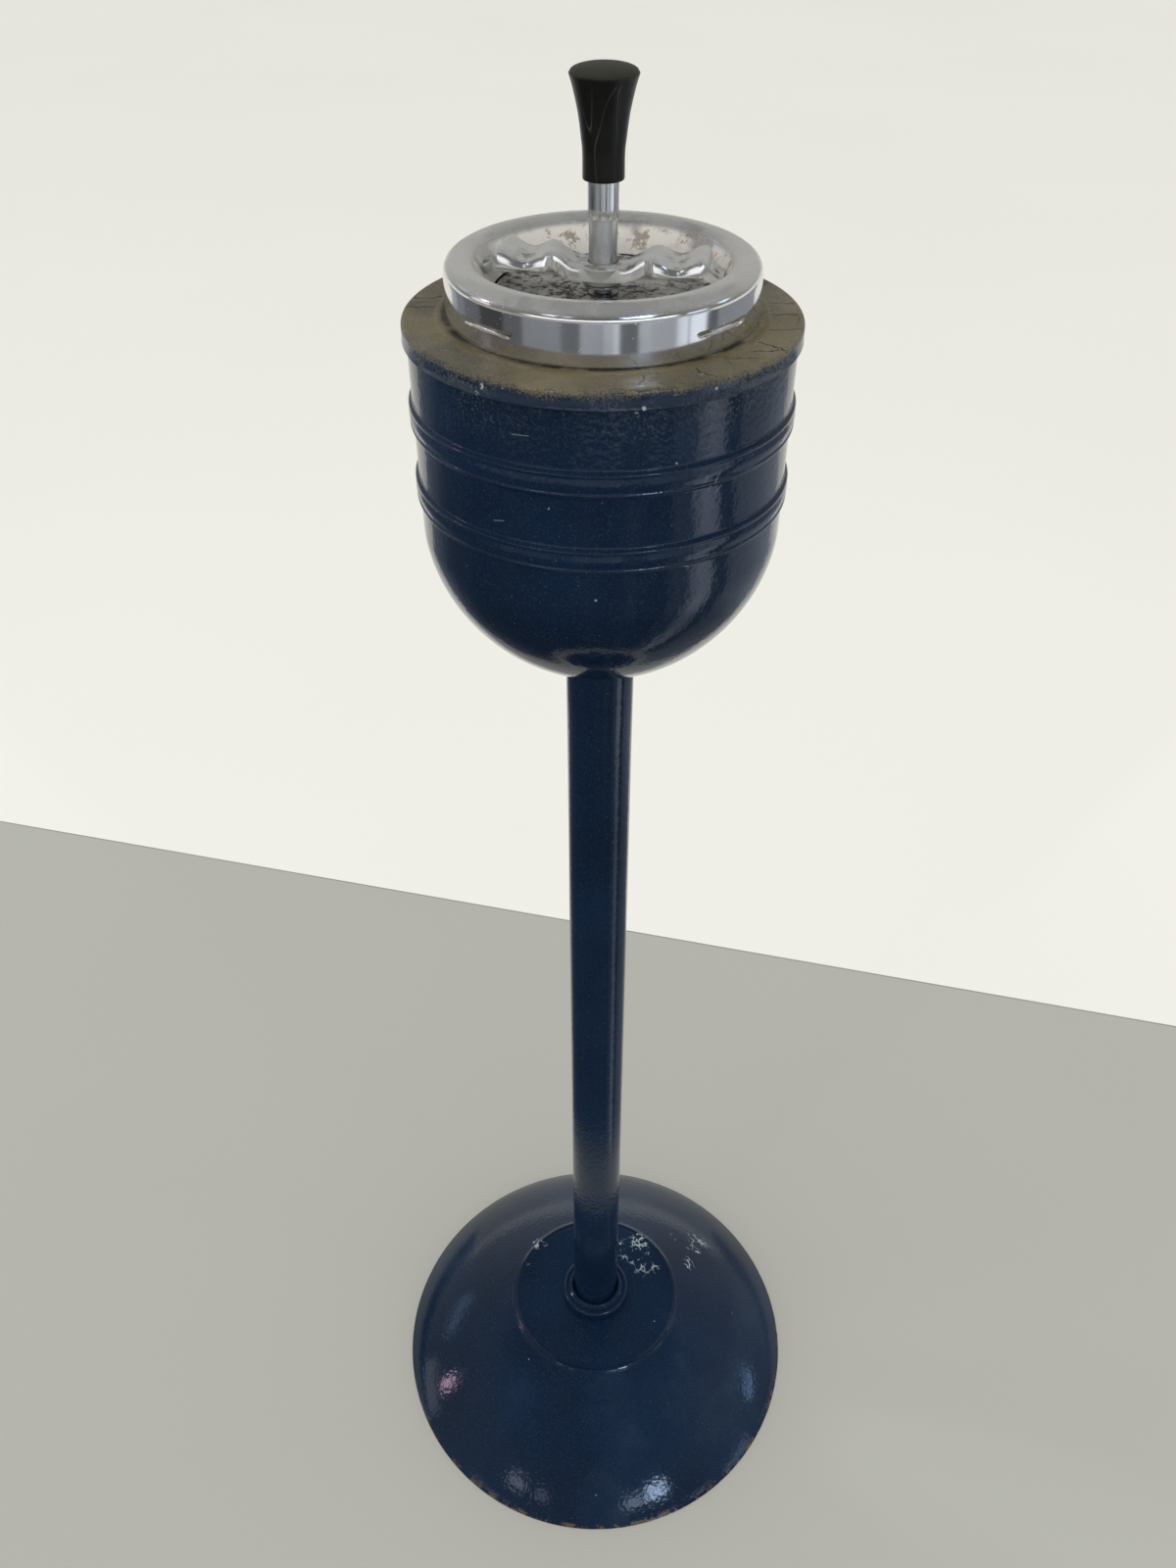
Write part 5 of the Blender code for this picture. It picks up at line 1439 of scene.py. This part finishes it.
@dataclass
class Studio:
    """The pale floor, the soft light and the camera."""

    floor_size: float = 40.0
    card_size: float = 7.0
    card_height: float = 0.002
    cream: Colour = (0.88, 0.865, 0.81)
    even_light: Colour = (0.93, 0.93, 0.91)
    ceiling: Colour = (0.070, 0.078, 0.090)
    lamps: tuple[tuple[str, tuple[float, float, float], tuple[float, float], float], ...] = (
        ("lamp_left", (-1.7, -1.1, 1.9), (1.8, 1.6), 9.0),
        ("lamp_right", (1.8, -1.2, 1.6), (1.4, 1.4), 4.0))
    aim: tuple[float, float, float] = (0.0, 0.0, 0.45)
    room_tint: Colour = (1.0, 0.985, 0.94)
    room_stops: Stops = (
        (0.0, 0.10), (0.12, 0.14), (0.22, 0.20), (0.31, 0.20), (0.37, 0.30), (0.42, 0.42), (0.58, 0.42),
        (0.63, 0.34), (0.69, 0.24), (0.80, 0.18), (0.90, 0.12), (1.0, 0.10))
    windows: tuple[tuple[float, float, float, float, Colour], ...] = (
        (0.050, 0.120, 0.02, 0.17, (1.35, 1.35, 1.40)), (0.930, 0.085, 0.02, 0.17, (1.6, 1.7, 1.85)),
        (0.812, 0.026, 0.02, 0.14, (0.9, 1.1, 1.5)), (0.262, 0.030, 0.02, 0.16, (0.9, 0.9, 0.95)),
        (0.918, 0.016, 0.37, 0.46, (9.0, 12.0, 17.0)), (0.950, 0.014, 0.36, 0.44, (3.0, 3.8, 5.2)),
        (0.107, 0.014, 0.36, 0.45, (2.2, 2.3, 2.7)), (0.072, 0.009, 0.36, 0.45, (1.2, 1.3, 1.6)),
        (0.255, 0.006, 0.22, 0.33, (9.0, 6.0, 8.0)), (0.742, 0.016, 0.19, 0.24, (2.2, 3.4, 5.4)),
        (0.325, 0.024, 0.20, 0.25, (0.8, 1.1, 1.5)))
    far_stops: Stops = (
        (0.0, 0.34), (0.042, 0.38), (0.047, 0.13), (0.079, 0.15), (0.086, 0.26), (0.16, 0.24), (0.166, 0.10),
        (0.205, 0.11), (0.21, 0.035), (0.268, 0.045), (0.273, 0.12), (0.318, 0.13), (0.323, 0.20),
        (0.352, 0.20), (0.358, 0.36), (0.42, 0.36), (0.754, 0.24), (0.759, 0.10), (0.784, 0.12),
        (0.787, 0.95), (0.823, 0.90), (0.8265, 0.05), (0.830, 0.85), (0.851, 0.70), (0.857, 0.36),
        (0.904, 0.42), (0.910, 0.48), (0.929, 0.46), (0.934, 0.12), (0.967, 0.14), (0.972, 0.72),
        (0.985, 0.46))
    near_stops: Stops = (
        (0.0, 0.07), (0.03, 0.10), (0.06, 0.05), (0.12, 0.05), (0.16, 0.07), (0.24, 0.05), (0.31, 0.08),
        (0.34, 0.20), (0.42, 0.36), (0.60, 0.45), (0.66, 0.50), (0.755, 0.42), (0.765, 0.10), (0.79, 0.12),
        (0.797, 1.05), (0.820, 1.45), (0.840, 0.80), (0.850, 0.22), (0.875, 0.30), (0.885, 0.08),
        (0.93, 0.09), (0.95, 0.16), (0.97, 0.07))
    camera_place: tuple[float, float, float] = (-0.005, -0.438, 0.8568)
    camera_tilt: float = math.radians(50.433)
    lens: float = 29.115

    def lay_sheet(self, name: str, size: float, height: float, finish: Finish) -> bpy.types.Object:
        """Lay a level square sheet of the stage, with its middle on the middle axis."""
        clear_selection()
        bpy.ops.mesh.primitive_plane_add(size=size, location=(0.0, 0.0, height))
        sheet = bpy.context.object
        sheet.name = name
        sheet.data.materials.append(finish.material())
        return sheet

    def build_card(self) -> None:
        """Lay the card that gives the chrome and the enamel something dark to mirror."""
        card = self.lay_sheet("reflector_card", self.card_size, self.card_height,
                              ReflectorCard("reflector_card_finish", self.far_stops, self.near_stops))
        card.visible_camera = card.visible_diffuse = card.visible_shadow = False
        card.visible_transmission = card.visible_volume_scatter = False

    def build_light(self) -> None:
        """Hang one large soft lamp on each side, mostly for the shading."""
        for name, place, size, power in self.lamps:
            data = bpy.data.lights.new(name, "AREA")
            data.shape = "RECTANGLE"
            data.size, data.size_y = size
            data.energy = power
            lamp = bpy.data.objects.new(name, data)
            lamp.visible_glossy = False
            lamp.location = place
            lamp.rotation_euler = (Vector(self.aim) - Vector(place)).to_track_quat("-Z", "Y").to_euler()
            bpy.context.scene.collection.objects.link(lamp)

    def build_surroundings(self) -> None:
        """Give the air an even light, a plain cream to look at, and a room with windows to mirror."""
        world = bpy.data.worlds.new("studio_air")
        bpy.context.scene.world = world
        world.use_nodes = True
        world.node_tree.nodes.clear()
        air = Graph(world.node_tree, "Generated")
        z, share = air.z, air.turn_share()
        room = air.mix(z.rising(0.50, 0.66), air.ramp(share, self.room_stops, self.room_tint), self.ceiling)
        for bearing, width, low, high, colour in self.windows:
            pane = abs(share - bearing).falling(width * 0.7, width) * z.rising(low - 0.02, low + 0.02)
            room = air.mix(pane * z.falling(high - 0.03, high + 0.03), room, colour)
        mirrored = air.node("ShaderNodeLightPath", {}, {}, "Is Glossy Ray")
        direct = air.node("ShaderNodeLightPath", {}, {}, "Is Camera Ray")
        seen = air.mix(direct, air.mix(mirrored, self.even_light, room), self.cream)
        background = air.node("ShaderNodeBackground", {}, {"Color": seen})
        output = air.tree.nodes.new("ShaderNodeOutputWorld")
        air.tree.links.new(background.socket, output.inputs["Surface"])

    def build_camera(self) -> None:
        """Set the camera above the front of the object."""
        data = bpy.data.cameras.new("studio_camera")
        data.sensor_fit = "VERTICAL"
        data.sensor_height = 36.0
        data.lens = self.lens
        camera = bpy.data.objects.new("studio_camera", data)
        camera.location = self.camera_place
        camera.rotation_euler = (self.camera_tilt, 0.0, 0.0)
        bpy.context.scene.collection.objects.link(camera)
        bpy.context.scene.camera = camera

    def build(self) -> None:
        """Build the studio."""
        bpy.context.scene.view_settings.view_transform = "Standard"
        self.build_camera()
        self.lay_sheet("studio_floor", self.floor_size, 0.0, StageFloor("studio_floor_finish"))
        self.build_card()
        self.build_light()
        self.build_surroundings()


def main() -> None:
    """Build the studio and every sub-assembly in order."""
    logging.basicConfig(level=logging.INFO, format="%(message)s")
    Studio().build()
    for assembly in (Foot(), Stem(), Cup(), TrayUnit(), Plunger(), Spindle(), Disc()):
        assembly.build()


if __name__ == "__main__":
    main()
